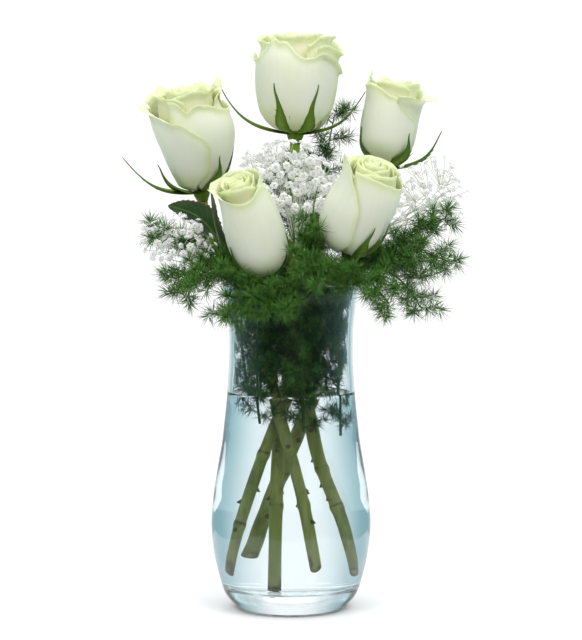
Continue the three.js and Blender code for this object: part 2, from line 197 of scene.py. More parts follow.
# Each sepal is [degrees round the hip, spread, length in mm]. Spread 0 hugs the bud and 1 lies level.
SEPALS = {
    "rose_top": [(242, 0.05, 30), (296, 0.05, 30), (178, 0.95, 50), (352, 0.9, 44), (80, 0.5, 34)],
    "rose_left": [(190, 0.95, 46), (215, 0.75, 32), (310, 0.35, 26), (20, 0.2, 28), (100, 0.6, 34)],
    "rose_right": [(345, 0.75, 36), (200, 0.15, 24), (300, 0.5, 26), (60, 0.5, 28), (130, 0.6, 30)],
    "rose_front_left": [(195, 0.35, 42), (215, 0.12, 30), (330, 0.3, 32), (10, 0.35, 34), (100, 0.2, 28)],
    "rose_front_right": [(170, 0.45, 42), (290, 0.05, 28), (325, 0.12, 32), (40, 0.35, 30), (100, 0.2, 28)],
}
HIP_OUTLINE = [(0.0, -7.6), (3.2, -7.6), (3.7, -6.2), (4.7, -4.0), (5.2, -2.2), (4.6, -0.6), (0.0, 0.4)]

# Routes in mm: each leaf's midrib, each sprig's stem and each fern's stem.
Leaf = namedtuple("Leaf", "route half_width roll")  # roll turns the blade about its midrib, in degrees
LEAVES = {
    "rose_leaf_left": Leaf([(-44, -6, 226), (-56, -10, 240), (-74, -15, 247)], 9.5, 52),
    "rose_leaf_upright": Leaf([(-33, -16, 206), (-43, -21, 226), (-48, -24, 257)], 7.5, -35),
    "rose_leaf_back": Leaf([(-20, 38, 215), (-30, 52, 226), (-44, 60, 222)], 10.0, 20),
}
# crown is the middle of the cloud of florets, spread its half-sizes and florets how many it has.
Sprig = namedtuple("Sprig", "stem crown spread florets size")
SPRIGS = {
    "gypsophila_centre": Sprig(
        [(13, 4, 135), (11, 1, 180), (3, -6, 225), (-1, -8, 246)], (-1, -9, 259), (35, 15, 29), 230, 1.2
    ),
    "gypsophila_left": Sprig(
        [(-25, 9, 140), (-31, 12, 195), (-46, -4, 212), (-60, -18, 219)], (-68, -24, 226), (22, 11, 18), 90, 0.95
    ),
    "gypsophila_right": Sprig(
        [(22, 4, 150), (31, 7.5, 198), (54, 6, 230), (76, 4, 244)], (84, 2, 252), (24, 15, 26), 110, 0.85
    ),
    "gypsophila_back": Sprig(
        [(-6, 19, 150), (-8, 25, 200), (-6, 38, 240)], (-4, 46, 262), (31, 16, 27), 90, 1.1
    ),
    "gypsophila_back_right": Sprig(
        [(9, 24, 150), (20, 31, 200), (40, 44, 226)], (52, 50, 238), (21, 14, 18), 80, 1.0
    ),
}
# inside and outside are the [half-width, half-thickness] of the foliage at the start and the end of the route.
# Each fern's first frond follows the frame's fern, a little shorter at its end on some, and the others are
# side shoots of it.
Frond = namedtuple("Frond", "route inside outside")
FERNS = {
    "fern_left": [
        Frond(
            [(-24, -8, 128), (-30, -6, 168), (-34, -5, 203), (-57, -14, 222), (-80, -20, 232)], (13, 10),
            (15, 8)
        ),
        Frond(
            [(-12, -4, 150), (-14, -6, 180), (-24, -14, 203), (-48, -26, 212), (-68, -30, 204)], (15, 12),
            (12, 8)
        ),
    ],
    "fern_front_left": [
        Frond(
            [(-17, -23, 116), (-20, -25, 165), (-24, -32, 205), (-43, -42, 210), (-64, -46, 196)], (14, 11),
            (15, 8)
        ),
        Frond(
            [(-8, -14, 140), (-12, -18, 176), (-14, -34, 200), (-26, -44, 197), (-38, -48, 182)], (14, 12),
            (14, 8)
        ),
    ],
    "fern_front": [
        Frond(
            [(7, -29, 112), (6, -31, 168), (8, -37, 205), (12, -46, 216), (17, -51, 204)], (14, 11), (17, 9)
        ),
        Frond(
            [(0, -18, 130), (-4, -24, 170), (-6, -38, 200), (-6, -46, 198), (-8, -50, 186)], (14, 10),
            (15, 8)
        ),
        Frond(
            [(6, -6, 136), (8, -16, 176), (10, -28, 204), (12, -36, 222), (13, -40, 234)], (14, 12), (10, 8)
        ),
    ],
    "fern_right_low": [
        Frond(
            [(27, -17, 108), (28, -16, 168), (36, -12, 205), (57, -22, 208), (78, -28, 186)], (13, 11),
            (18, 11)
        ),
        Frond(
            [(14, -10, 134), (18, -12, 174), (30, -30, 201), (44, -44, 204), (58, -49, 190)], (14, 12),
            (15, 9)
        ),
    ],
    "fern_right_high": [
        Frond(
            [(31, 0, 146), (34, 0, 203), (58, -8, 220), (78, -14, 232), (93, -18, 240)], (12, 10), (12, 8)
        ),
        Frond(
            [(24, 2, 160), (28, -4, 200), (52, -18, 214), (76, -26, 220), (94, -28, 214)], (12, 10),
            (15, 10)
        ),
    ],
    "fern_back_top": [
        Frond([(2, 29, 146), (6, 33, 203), (16, 36, 250), (27, 31, 302)], (12, 10), (17, 10)),
        Frond([(4, 20, 150), (6, 22, 203), (4, 24, 240), (-6, 26, 270)], (12, 10), (13, 9)),
    ],
    "fern_back_left": [
        Frond([(-19, 24, 130), (-22, 27, 180), (-33, 38, 214), (-56, 52, 226)], (13, 10), (18, 10)),
        Frond([(-6, 16, 160), (-8, 18, 203), (-16, 16, 232), (-22, 16, 252)], (12, 9), (15, 8)),
    ],
    "fern_back_right": [
        Frond(
            [(22, 21, 130), (25, 24, 180), (36, 34, 212), (60, 44, 214), (78, 46, 200)], (13, 10), (18, 10)
        ),
        Frond([(8, 16, 160), (10, 18, 203), (20, 14, 232), (28, 12, 250)], (12, 9), (15, 8)),
    ],
}


# ---- Sizes and colours a user may change -----------------------------------------------------------------------


def length_property(name, description, default):
    return bpy.props.FloatProperty(
        name=name, description=description, default=default, min=0.0, unit="LENGTH", precision=4
    )


def colour_property(name, description, default):
    return bpy.props.FloatVectorProperty(
        name=name, description=description, default=default, size=3, min=0.0, max=1.0, subtype="COLOR"
    )


def count_property(name, description, default):
    return bpy.props.IntProperty(name=name, description=description, default=default, min=1)


class VaseSettings(bpy.types.PropertyGroup):
    wall: length_property("Wall", "Thickness of the glass wall", 2.6 * MM)
    floor: length_property("Floor", "Thickness of the solid glass under the water", 14 * MM)
    hollow: length_property("Hollow", "Depth of the hollow under the foot", 1.4 * MM)
    meniscus: length_property("Meniscus", "How far the water climbs the glass", 1.3 * MM)
    glass: colour_property("Glass", "Tint of the glass", (0.93, 0.975, 0.985))
    water: colour_property("Water", "Tint of the water", (0.965, 0.985, 0.99))


class RoseSettings(bpy.types.PropertyGroup):
    petal_thickness: length_property("Petal thickness", "Thickness of a petal", 0.5 * MM)
    stem_radius: length_property("Stem radius", "Radius of a cut stem", 3.2 * MM)
    inner_petals: count_property("Inner petals", "Petals furled inside the three loose ones", 11)
    cream: colour_property("Cream", "Main colour of the petals", (0.86, 0.89, 0.68))
    lime: colour_property("Lime", "Colour of the petals' edges and foot", (0.62, 0.71, 0.25))
    heart: colour_property("Heart", "Colour deep between the furled petals", (0.78, 0.72, 0.28))
    sepal: colour_property("Sepal", "Green of the sepals", (0.065, 0.14, 0.008))
    sepal_light: colour_property(
        "Sepal light", "Light green along the middle of a sepal", (0.21, 0.34, 0.025)
    )
    # stem: painted much lighter than the stems' own green, to make up for the dim light in the glass and water
    stem: colour_property("Stem", "Green of the stems", (0.42, 0.46, 0.13))
    neck: colour_property("Neck", "Bright green of the stems under the buds", (0.20, 0.34, 0.012))
    bark: colour_property("Bark", "Brown of the stems' scars and knots", (0.17, 0.12, 0.05))


class FoliageSettings(bpy.types.PropertyGroup):
    needle_width: length_property("Needle width", "Width of a fern needle", 0.4 * MM)
    needle_length: length_property("Needle length", "Length of a long fern needle", 11 * MM)
    branches: count_property("Branches", "Side branches of each fern", 34)
    tuft: count_property("Tuft", "Needles in each tuft", 30)
    fern: colour_property("Fern", "Green of the fern's needles", (0.018, 0.085, 0.008))
    # fern_light: the young needles' light green, also laid on as painted light through the raised base of the needles'
    # tone
    fern_light: colour_property("Fern light", "Light green of the fern's young needles", (0.09, 0.25, 0.02))
    leaf: colour_property("Leaf", "Green of the rose leaves", (0.03, 0.075, 0.02))
    leaf_edge: colour_property("Leaf edge", "Reddish colour of a leaf's edge", (0.16, 0.06, 0.03))
    floret: colour_property("Floret", "White of the baby's breath florets", (0.95, 0.96, 0.94))
    twig: colour_property("Twig", "Green of the baby's breath twigs", (0.07, 0.12, 0.035))


class StageSettings(bpy.types.PropertyGroup):
    floor_size: length_property("Floor size", "Width and depth of the floor", 0.42)
    camera_distance: length_property("Camera distance", "Level distance from the vase to the camera", 1.45)
    camera_height: length_property("Camera height", "Height of the camera", 0.281)
    target_height: length_property("Target height", "Height that the camera looks at", 0.177)
    lens: bpy.props.FloatProperty(
        name="Lens", description="Focal length in millimetres", default=134.0, min=1.0
    )
    sky: colour_property("Sky", "Colour of the light from the front and back", (1.0, 1.0, 1.0))
    side: colour_property("Side", "Colour of the light from both sides", (0.29, 0.46, 0.50))
    front: bpy.props.FloatProperty(
        name="Front", description="Share of the light in front", default=0.22, min=0.0
    )


# ---- Curves and surfaces ---------------------------------------------------------------------------------------

Part = namedtuple("Part", "points faces uv tone")  # tone is one number a point, which the materials read


def unit(vectors):
    """Vectors divided by their length."""
    return vectors / np.maximum(np.linalg.norm(vectors, axis=-1, keepdims=True), 1e-12)


def smoothstep(low, high, x):
    """0 below low, 1 above high, and 3t^2 - 2t^3 between them."""
    t = np.clip((x - low) / (high - low), 0, 1)
    return t * t * (3 - 2 * t)


def eased(knots, values, x):
    """A smooth curve through values at rising knots, read at x: cubic Hermite pieces with central slopes."""
    knots, values = np.asarray(knots, float), np.asarray(values, float)
    slopes = np.gradient(values, knots)
    x = np.clip(x, knots[0], knots[-1])
    i = np.clip(np.searchsorted(knots, x) - 1, 0, len(knots) - 2)
    h = knots[i + 1] - knots[i]
    t = (x - knots[i]) / h
    start = (1 + 2 * t) * (1 - t) ** 2 * values[i] + t * (1 - t) ** 2 * h * slopes[i]
    end = t**2 * (3 - 2 * t) * values[i + 1] - t**2 * (1 - t) * h * slopes[i + 1]
    return start + end


def smooth_line(points, count):
    """count points evenly spaced along a natural cubic spline through the given ones.

    The spline's parameter is the chord length, and its second derivatives solve the usual tridiagonal equations.
    """
    points = np.asarray(points, float)
    steps = np.linalg.norm(np.diff(points, axis=0), axis=1)
    knots = np.r_[0, np.cumsum(steps)]
    size = len(points)
    matrix = np.eye(size)
    right = np.zeros_like(points)
    inner = np.arange(1, size - 1)
    matrix[inner, inner - 1] = steps[:-1]
    matrix[inner, inner] = 2 * (steps[:-1] + steps[1:])
    matrix[inner, inner + 1] = steps[1:]
    slopes = np.diff(points, axis=0) / steps[:, None]
    right[inner] = 6 * np.diff(slopes, axis=0)
    second = np.linalg.solve(matrix, right)
    t = np.linspace(0, knots[-1], 40 * size)
    i = np.clip(np.searchsorted(knots, t) - 1, 0, size - 2)
    h = steps[i][:, None]
    a = (knots[i + 1] - t)[:, None]
    b = (t - knots[i])[:, None]
    dense = (second[i] * a**3 + second[i + 1] * b**3) / (6 * h)
    dense += (points[i] / h - second[i] * h / 6) * a + (points[i + 1] / h - second[i + 1] * h / 6) * b
    gone = np.r_[0, np.cumsum(np.linalg.norm(np.diff(dense, axis=0), axis=1))]
    even = np.linspace(0, gone[-1], count)
    return np.stack([np.interp(even, gone, dense[:, k]) for k in range(points.shape[1])], axis=-1)


def grid_faces(rows, columns, closed=False):
    """Quads of a grid of points stored row after row; closed joins the last column to the first."""
    i = np.arange(rows - 1)[:, None]
    j = np.arange(columns if closed else columns - 1)[None, :]
    k = (j + 1) % columns
    corners = [i * columns + j, i * columns + k, (i + 1) * columns + k, (i + 1) * columns + j]
    return np.stack(np.broadcast_arrays(*corners), -1).reshape(-1, 4)


def merge(parts):
    """One part out of several, with their faces counted on."""
    offsets = np.cumsum([0] + [len(part.points) for part in parts])
    faces = [face + offset for part, offset in zip(parts, offsets) for face in part.faces]
    return Part(
        np.concatenate([part.points for part in parts]),
        faces,
        np.concatenate([part.uv for part in parts]),
        np.concatenate([part.tone for part in parts]),
    )


def turned(outline, sides):
    """A closed surface turned about +Z from [radius, height] points that start and end on the axis.

    A point is (r cos a, r sin a, z), with a from 0 to a full turn.
    """
    outline = np.asarray(outline, float)
    angle = np.linspace(0, 2 * np.pi, sides, endpoint=False)
    r, z = outline[1:-1, 0, None], outline[1:-1, 1, None]
    ring = np.stack([r * np.cos(angle), r * np.sin(angle), z + 0 * angle], -1)
    rows = len(ring)
    first, last = rows * sides, rows * sides + 1
    poles = np.array([[0, 0, outline[0, 1]], [0, 0, outline[-1, 1]]])
    j = np.arange(sides)
    k = (j + 1) % sides
    top = (rows - 1) * sides
    caps = np.concatenate(
        [
            np.stack([np.full(sides, first), k, j], -1),
            np.stack([np.full(sides, last), top + j, top + k], -1)
        ]
    )
    points = np.concatenate([ring.reshape(-1, 3), poles])
    uv = np.concatenate(
        [np.stack(np.broadcast_arrays(angle / (2 * np.pi), z), -1).reshape(-1, 2), poles[:, 1:]]
    )
    return Part(points, [grid_faces(rows, sides, True), caps], uv, np.zeros(len(points)))


def tube(path, radii, sides, across, tone=None, shear=(0.0, 0.0)):
    """A closed tube along a path: each ring is path + r (cos a side + sin a out), square to the path.

    side is across made square to the path, and out is the path's direction crossed with side. radii is one number
    for each ring, or one for each point. shear leans the first and last rings, as a slanting cut does.
    """
    path = np.asarray(path, float)
    rows = len(path)
    forward = unit(np.gradient(path, axis=0))
    across = np.broadcast_to(np.asarray(across, float), path.shape)
    side = unit(across - forward * np.sum(across * forward, -1, keepdims=True))
    out = np.cross(forward, side)
    angle = np.linspace(0, 2 * np.pi, sides, endpoint=False)
    radii = np.asarray(radii, float)
    radii = np.broadcast_to(radii[:, None] if radii.ndim == 1 else radii, (rows, sides))[..., None]
    ring = path[:, None] + radii * (
        np.cos(angle)[None, :, None] * side[:, None] + np.sin(angle)[None, :, None] * out[:, None]
    )
    for row, slope in ((0, shear[0]), (rows - 1, shear[1])):
        ring[row] += forward[row] * (slope * radii[row] * np.cos(angle)[:, None])
    ends = np.stack([ring[0].mean(0), ring[-1].mean(0)])
    j = np.arange(sides)
    k = (j + 1) % sides
    top = (rows - 1) * sides
    first, last = rows * sides, rows * sides + 1
    caps = np.concatenate(
        [
            np.stack([np.full(sides, first), k, j], -1),
            np.stack([np.full(sides, last), top + j, top + k], -1)
        ]
    )
    tone = np.zeros(rows) if tone is None else np.asarray(tone, float)
    along = np.linspace(0, 1, rows)
    uv = np.stack(np.broadcast_arrays(angle / (2 * np.pi), along[:, None]), -1).reshape(-1, 2)
    return Part(
        np.concatenate([ring.reshape(-1, 3), ends]),
        [grid_faces(rows, sides, True), caps],
        np.concatenate([uv, [[0, 0], [0, 1]]]),
        np.concatenate([np.repeat(tone, sides), tone[[0, -1]]]),
    )


def shell(grid, half_thickness, tone, rim=0.4):
    """A thin closed plate over a grid of points: the grid moved both ways along its normal, and sewn up round it.

    The normal is the across direction crossed with the along one. The plate thins to the share rim at its border.
    """
    rows, columns = grid.shape[:2]
    normal = unit(np.cross(np.gradient(grid, axis=0), np.gradient(grid, axis=1)))
    u = np.linspace(0, 1, rows)[:, None]
    v = np.linspace(0, 1, columns)[None, :]
    inward = np.clip(np.minimum(np.minimum(u, 1 - u), np.minimum(v, 1 - v)) * 9, 0, 1)
    depth = (half_thickness * (rim + (1 - rim) * np.sqrt(inward)))[..., None] * normal
    size = rows * columns
    index = np.arange(size).reshape(rows, columns)
    loop = np.concatenate([index[:, 0], index[-1, 1:], index[-2::-1, -1], index[0, -2:0:-1]])
    after = np.roll(loop, -1)
    sides = np.stack([loop, loop + size, after + size, after], -1)
    faces = grid_faces(rows, columns)
    uv = np.stack(np.broadcast_arrays(u, v), -1).reshape(-1, 2)
    tone = np.broadcast_to(tone, (rows, columns)).ravel()
    return Part(
        np.concatenate([(grid + depth).reshape(-1, 3), (grid - depth).reshape(-1, 3)]),
        [faces[:, ::-1], faces + size, sides],
        np.concatenate([uv, uv]),
        np.concatenate([tone, tone]),
    )


def rods(starts, ends, start_radius, end_radius, tone=0.0):
    """Straight three-sided rods between pairs of points, closed at both ends."""
    starts, ends = np.asarray(starts, float), np.asarray(ends, float)
    forward = unit(ends - starts)
    helper = np.where(np.abs(forward[:, 2:]) < 0.9, [[0.0, 0.0, 1.0]], [[1.0, 0.0, 0.0]])
    side = unit(np.cross(forward, helper))
    out = np.cross(forward, side)
    angle = np.arange(3) * 2 * np.pi / 3
    ring = np.cos(angle)[None, :, None] * side[:, None] + np.sin(angle)[None, :, None] * out[:, None]
    low = starts[:, None] + ring * np.reshape(start_radius, (-1, 1, 1))
    high = ends[:, None] + ring * np.reshape(end_radius, (-1, 1, 1))
    points = np.concatenate([low, high], axis=1)
    base = 6 * np.arange(len(starts))[:, None, None]
    quads = (np.array([[0, 1, 4, 3], [1, 2, 5, 4], [2, 0, 3, 5]])[None] + base).reshape(-1, 4)
    caps = (np.array([[2, 1, 0], [3, 4, 5]])[None] + base).reshape(-1, 3)
    count = points.shape[0] * 6
    uv = np.tile([[0, 0], [0.3, 0], [0.6, 0], [0, 1], [0.3, 1], [0.6, 1]], (len(starts), 1))
    return Part(points.reshape(-1, 3), [quads, caps], uv, np.full(count, float(tone)))


def needles(roots, tips, width, tone):
    """Thin closed spindles from root to tip, with three corners at a third of their length."""
    forward = unit(tips - roots)
    helper = np.where(np.abs(forward[:, 2:]) < 0.9, [[0.0, 0.0, 1.0]], [[1.0, 0.0, 0.0]])
    side = unit(np.cross(forward, helper))
    out = np.cross(forward, side)
    angle = np.arange(3) * 2 * np.pi / 3
    ring = np.cos(angle)[None, :, None] * side[:, None] + np.sin(angle)[None, :, None] * out[:, None]
    belly = (roots + (tips - roots) * 0.35)[:, None] + ring * (width / 2)
    points = np.concatenate([roots[:, None], belly, tips[:, None]], axis=1)
    shape = np.array([[0, 2, 1], [0, 3, 2], [0, 1, 3], [1, 2, 4], [2, 3, 4], [3, 1, 4]])
    faces = (shape[None] + 5 * np.arange(len(roots))[:, None, None]).reshape(-1, 3)
    uv = np.tile([[0.5, 0], [0, 0.35], [0.5, 0.35], [1, 0.35], [0.5, 1]], (len(roots), 1))
    return Part(points.reshape(-1, 3), [faces], uv, np.repeat(tone, 5))


def build_mesh(name, part, faceted=False):
    """A mesh from a part, with its UV map and its tone attribute, smooth unless it is faceted."""
    mesh = bpy.data.meshes.new(name)
    corners = np.concatenate([face.ravel() for face in part.faces]).astype(np.int32)
    sizes = np.concatenate([np.full(len(face), face.shape[1]) for face in part.faces])
    mesh.vertices.add(len(part.points))
    mesh.vertices.foreach_set("co", part.points.astype(np.float32).ravel())
    mesh.loops.add(len(corners))
    mesh.loops.foreach_set("vertex_index", corners)
    mesh.polygons.add(len(sizes))
    mesh.polygons.foreach_set("loop_start", (np.cumsum(sizes) - sizes).astype(np.int32))
    mesh.update(calc_edges=True)
    mesh.uv_layers.new(name="UVMap").uv.foreach_set("vector", part.uv[corners].astype(np.float32).ravel())
    tone = mesh.attributes.new("tone", "FLOAT", "POINT")
    tone.data.foreach_set("value", part.tone.astype(np.float32))
    if not faceted:
        mesh.shade_smooth()
    return mesh


def add_piece(name, part, material, node, faceted=False):
    """A piece of the bouquet that stands for a node of the frame."""
    mesh = build_mesh(name, part, faceted)
    mesh.materials.append(material)
    piece = bpy.data.objects.new(name, mesh)
    bpy.context.scene.collection.objects.link(piece)
    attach(piece, BODY)
    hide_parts(node)
    return piece


# ---- What the frame says ---------------------------------------------------------------------------------------


def corners_of(node):
    """A node's triangles as an array of corner points."""
    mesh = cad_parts[node].data
    points = np.zeros(len(mesh.vertices) * 3)
    mesh.vertices.foreach_get("co", points)
    mesh.calc_loop_triangles()
    triangles = np.zeros(len(mesh.loop_triangles) * 3, int)
    mesh.loop_triangles.foreach_get("vertices", triangles)
    return points.reshape(-1, 3)[triangles.reshape(-1, 3)]


def slices(node, heights):
    """Where a node's edges cross each level height: a list with one array of points for each."""
    triangle = corners_of(node)
    start = triangle.reshape(-1, 3)
    end = np.roll(triangle, -1, axis=1).reshape(-1, 3)
    found = []
    for height in heights:
        crosses = (start[:, 2] - height) * (end[:, 2] - height) < 0
        a, b = start[crosses], end[crosses]
        t = (height - a[:, 2:]) / (b[:, 2:] - a[:, 2:])
        found.append(a + (b - a) * t)
    return found


def stem_line(node, count):
    """The middle of a stem's solid at evenly spaced heights, as a smooth line of count points."""
    low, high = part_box(node)
    heights = np.linspace(low.z + 1.5 * MM, high.z - 1.5 * MM, 13)
    middles = np.array([(points.max(0) + points.min(0)) / 2 for points in slices(node, heights)])
    ends = [2 * middles[0] - middles[1], 2 * middles[-1] - middles[-2]]
    step = (heights[1] - heights[0]) / (1.5 * MM)
    first = middles[0] + (ends[0] - middles[0]) / step
    last = middles[-1] + (ends[1] - middles[-1]) / step
    return smooth_line([first, *middles, last], count)


Bud = namedtuple("Bud", "base axis across out length radius")


def bud_of(rose):
    """Where a rose's bud stands, from its solid of furled petals, which is turned about the bud's axis.

    The axis is the main direction of its points, and the rose's own X and Y are the frame's, turned the short way.
    """
    points = corners_of(f"{rose}_bud").reshape(-1, 3)
    middle = points.mean(0)
    axis = np.linalg.eigh(np.cov((points - middle).T))[1][:, -1]
    axis = axis * np.sign(axis[2])
    along = (points - middle) @ axis
    base = middle + axis * (along.min() - HIP_GAP)
    radius = np.linalg.norm(points - middle - along[:, None] * axis, axis=1).max() + OUTER_PETAL_ROOM
    pivot = np.array([-axis[1], axis[0], 0.0])
    turn = np.array([[0, -pivot[2], pivot[1]], [pivot[2], 0, -pivot[0]], [-pivot[1], pivot[0], 0]])
    rotation = np.eye(3) + turn + turn @ turn / (1 + axis[2])
    return Bud(base, axis, rotation[:, 0], rotation[:, 1], along.max() - along.min() + HIP_GAP, radius)


BUDS = {rose: bud_of(rose) for rose in ROSES}


def placed(bud, x, y, z):
    """Points of a rose's own frame, in the frame of the bouquet."""
    x, y, z = np.broadcast_arrays(x, y, z)
    return bud.base + x[..., None] * bud.across + y[..., None] * bud.out + z[..., None] * bud.axis


def bud_share(rose, t, angle):
    """The bud's radius at the share t of its length, as a share of its widest. angle is in radians round it."""
    heights, left, right = np.array(BUD_OUTLINES[rose]).T
    side = (1 + np.cos(angle)) / 2
    return eased(heights, left, t) * (1 - side) + eased(heights, right, t) * side


def inside_buds(points, margin):
    """True for each point that lies in a rose's bud or less than margin from it."""
    inside = np.zeros(points.shape[:-1], bool)
    for rose, bud in BUDS.items():
        offset = points - bud.base
        t = offset @ bud.axis / bud.length
        x, y = offset @ bud.across, offset @ bud.out
        wide = bud.radius * bud_share(rose, t, np.arctan2(y, x)) + margin
        inside |= (t > -0.04) & (t < 1.08) & (np.hypot(x, y) < wide)
    return inside


def glass_outline():
    """The outside of the vase as [radius, height], from the rings of its solid, lowest first."""
    points = corners_of("vase").reshape(-1, 3)
    radius = np.hypot(points[:, 0], points[:, 1])
    low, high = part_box("vase")
    heights = np.linspace(low.z + 0.2 * MM, high.z - 1.2 * MM, 24)
    widest = np.array([np.hypot(ring[:, 0], ring[:, 1]).max() for ring in slices("vase", heights)])
    lip = radius[points[:, 2] > high.z - 1.1 * MM].max()
    rows = np.column_stack([np.r_[widest, lip], np.r_[heights, high.z]])
    return smooth_line(rows, 90)


GLASS = glass_outline()


def glass_radius(height):
    """The vase's outside radius at a height."""
    return np.interp(height, GLASS[:, 1], GLASS[:, 0])


# ---- Materials -------------------------------------------------------------------------------------------------


def node_group(name, inputs, outputs):
    """An empty shader node group with named inputs [(name, kind, default)] and outputs [(name, kind)]."""
    group = bpy.data.node_groups.new(name, "ShaderNodeTree")
    for label, kind, default in inputs:
        socket = group.interface.new_socket(label, in_out="INPUT", socket_type=kind)
        socket.default_value = default
    for label, kind in outputs:
        group.interface.new_socket(label, in_out="OUTPUT", socket_type=kind)
    return group, group.nodes.new("NodeGroupInput"), group.nodes.new("NodeGroupOutput")


def math_node(tree, operation, a, b=None):
    node = tree.nodes.new("ShaderNodeMath")
    node.operation = operation
    for socket, value in zip(node.inputs, (a, b)):
        if isinstance(value, (int, float)):
            socket.default_value = value
        elif value is not None:
            tree.links.new(value, socket)
    return node.outputs[0]


def mix_colour(tree, factor, a, b, blend="MIX"):
    node = tree.nodes.new("ShaderNodeMix")
    node.data_type = "RGBA"
    node.blend_type = blend
    for socket, value in ((node.inputs["Factor"], factor), (node.inputs[6], a), (node.inputs[7], b)):
        if isinstance(value, bpy.types.NodeSocket):
            tree.links.new(value, socket)
        elif isinstance(value, (int, float)):
            socket.default_value = value
        else:
            socket.default_value = (*value[:3], 1.0)
    return node.outputs[2]


def map_range(tree, value, low, high, to_low=0.0, to_high=1.0, smooth=True):
    node = tree.nodes.new("ShaderNodeMapRange")
    node.interpolation_type = "SMOOTHSTEP" if smooth else "LINEAR"
    tree.links.new(value, node.inputs["Value"])
    for label, number in (("From Min", low), ("From Max", high), ("To Min", to_low), ("To Max", to_high)):
        node.inputs[label].default_value = number
    return node.outputs["Result"]


def mottle_group():
    """Cloudy patches and finer grain from noise on object coordinates, as a mask from 0 to 1."""
    group, inputs, outputs = node_group(
        "Mottle",
        [("Scale", "NodeSocketFloat", 100.0), ("Stretch", "NodeSocketFloat", 1.0)],
        [("Mask", "NodeSocketFloat"), ("Grain", "NodeSocketFloat")],
    )
    place = group.nodes.new("ShaderNodeTexCoord")
    split = group.nodes.new("ShaderNodeSeparateXYZ")
    group.links.new(place.outputs["Object"], split.inputs[0])
    joined = group.nodes.new("ShaderNodeCombineXYZ")
    for axis in "XY":
        group.links.new(split.outputs[axis], joined.inputs[axis])
    group.links.new(
        math_node(group, "MULTIPLY", split.outputs["Z"], inputs.outputs["Stretch"]), joined.inputs["Z"]
    )
    for output, factor, detail in (("Mask", 1.0, 3.0), ("Grain", 5.0, 2.0)):
        noise = group.nodes.new("ShaderNodeTexNoise")
        noise.inputs["Detail"].default_value = detail
        group.links.new(joined.outputs[0], noise.inputs["Vector"])
        group.links.new(
            math_node(group, "MULTIPLY", inputs.outputs["Scale"], factor), noise.inputs["Scale"]
        )
        group.links.new(map_range(group, noise.outputs["Fac"], 0.33, 0.67), outputs.inputs[output])
    return group


def vein_group():
    """Fine veins that fan out along a petal, a sepal or a leaf, from noise stretched along its UV map's V."""
    group, inputs, outputs = node_group(
        "Veins",
        [("Count", "NodeSocketFloat", 60.0), ("Length", "NodeSocketFloat", 3.0)],
        [("Mask", "NodeSocketFloat")],
    )
    place = group.nodes.new("ShaderNodeUVMap")
    split = group.nodes.new("ShaderNodeSeparateXYZ")
    group.links.new(place.outputs[0], split.inputs[0])
    joined = group.nodes.new("ShaderNodeCombineXYZ")
    group.links.new(
        math_node(group, "MULTIPLY", split.outputs["X"], inputs.outputs["Count"]), joined.inputs["X"]
    )
    group.links.new(
        math_node(group, "MULTIPLY", split.outputs["Y"], inputs.outputs["Length"]), joined.inputs["Y"]
    )
    noise = group.nodes.new("ShaderNodeTexNoise")
    noise.inputs["Scale"].default_value = 1.0
    noise.inputs["Detail"].default_value = 2.0
    group.links.new(joined.outputs[0], noise.inputs["Vector"])
    group.links.new(map_range(group, noise.outputs["Fac"], 0.3, 0.7), outputs.inputs["Mask"])
    return group


def use_group(tree, name, **values):
    """A placed node group with its own values. The group is made at its first use."""
    makers = {"Mottle": mottle_group, "Veins": vein_group}
    node = tree.nodes.new("ShaderNodeGroup")
    node.node_tree = bpy.data.node_groups.get(name) or makers[name]()
    for label, value in values.items():
        node.inputs[label].default_value = value
    return node.outputs


def new_material(name, **settings):
    """A material with one Principled shader, whose sockets take these settings."""
    material = bpy.data.materials.new(name)
    material.use_nodes = True
    shader = material.node_tree.nodes["Principled BSDF"]
    for label, value in settings.items():
        socket = shader.inputs[label.replace("_", " ").title().replace("Ior", "IOR")]
        socket.default_value = (*value, 1.0) if label.endswith(("color", "tint")) else value
    return material, material.node_tree, shader


def add_bump(tree, shader, height, strength, distance):
    bump = tree.nodes.new("ShaderNodeBump")
    bump.inputs["Strength"].default_value = strength
    bump.inputs["Distance"].default_value = distance
    tree.links.new(height, bump.inputs["Height"])
    tree.links.new(bump.outputs["Normal"], shader.inputs["Normal"])


def attribute_value(tree, name):
    node = tree.nodes.new("ShaderNodeAttribute")
    node.attribute_name = name
    return node.outputs["Fac"]


def uv_axes(tree):
    place = tree.nodes.new("ShaderNodeUVMap")
    split = tree.nodes.new("ShaderNodeSeparateXYZ")
    tree.links.new(place.outputs[0], split.inputs[0])
    return split.outputs["X"], split.outputs["Y"]


def glass_material(settings):
    material, tree, shader = new_material(
        "Clear Glass",
        base_color=tuple(settings.glass),
        roughness=0.0,
        ior=1.5,
        transmission_weight=1.0,
        specular_tint=(0.3, 0.3, 0.3),
    )
    ripple = use_group(tree, "Mottle", Scale=26.0, Stretch=0.4)
    add_bump(tree, shader, ripple["Mask"], 0.1, 0.3 * MM)
    return material


def water_material(settings):
    material, tree, shader = new_material(
        "Still Water", base_color=tuple(settings.water), roughness=0.0, ior=1.33, transmission_weight=1.0
    )
    ripple = use_group(tree, "Mottle", Scale=18.0, Stretch=1.0)
    add_bump(tree, shader, ripple["Mask"], 0.04, 0.2 * MM)
    return material


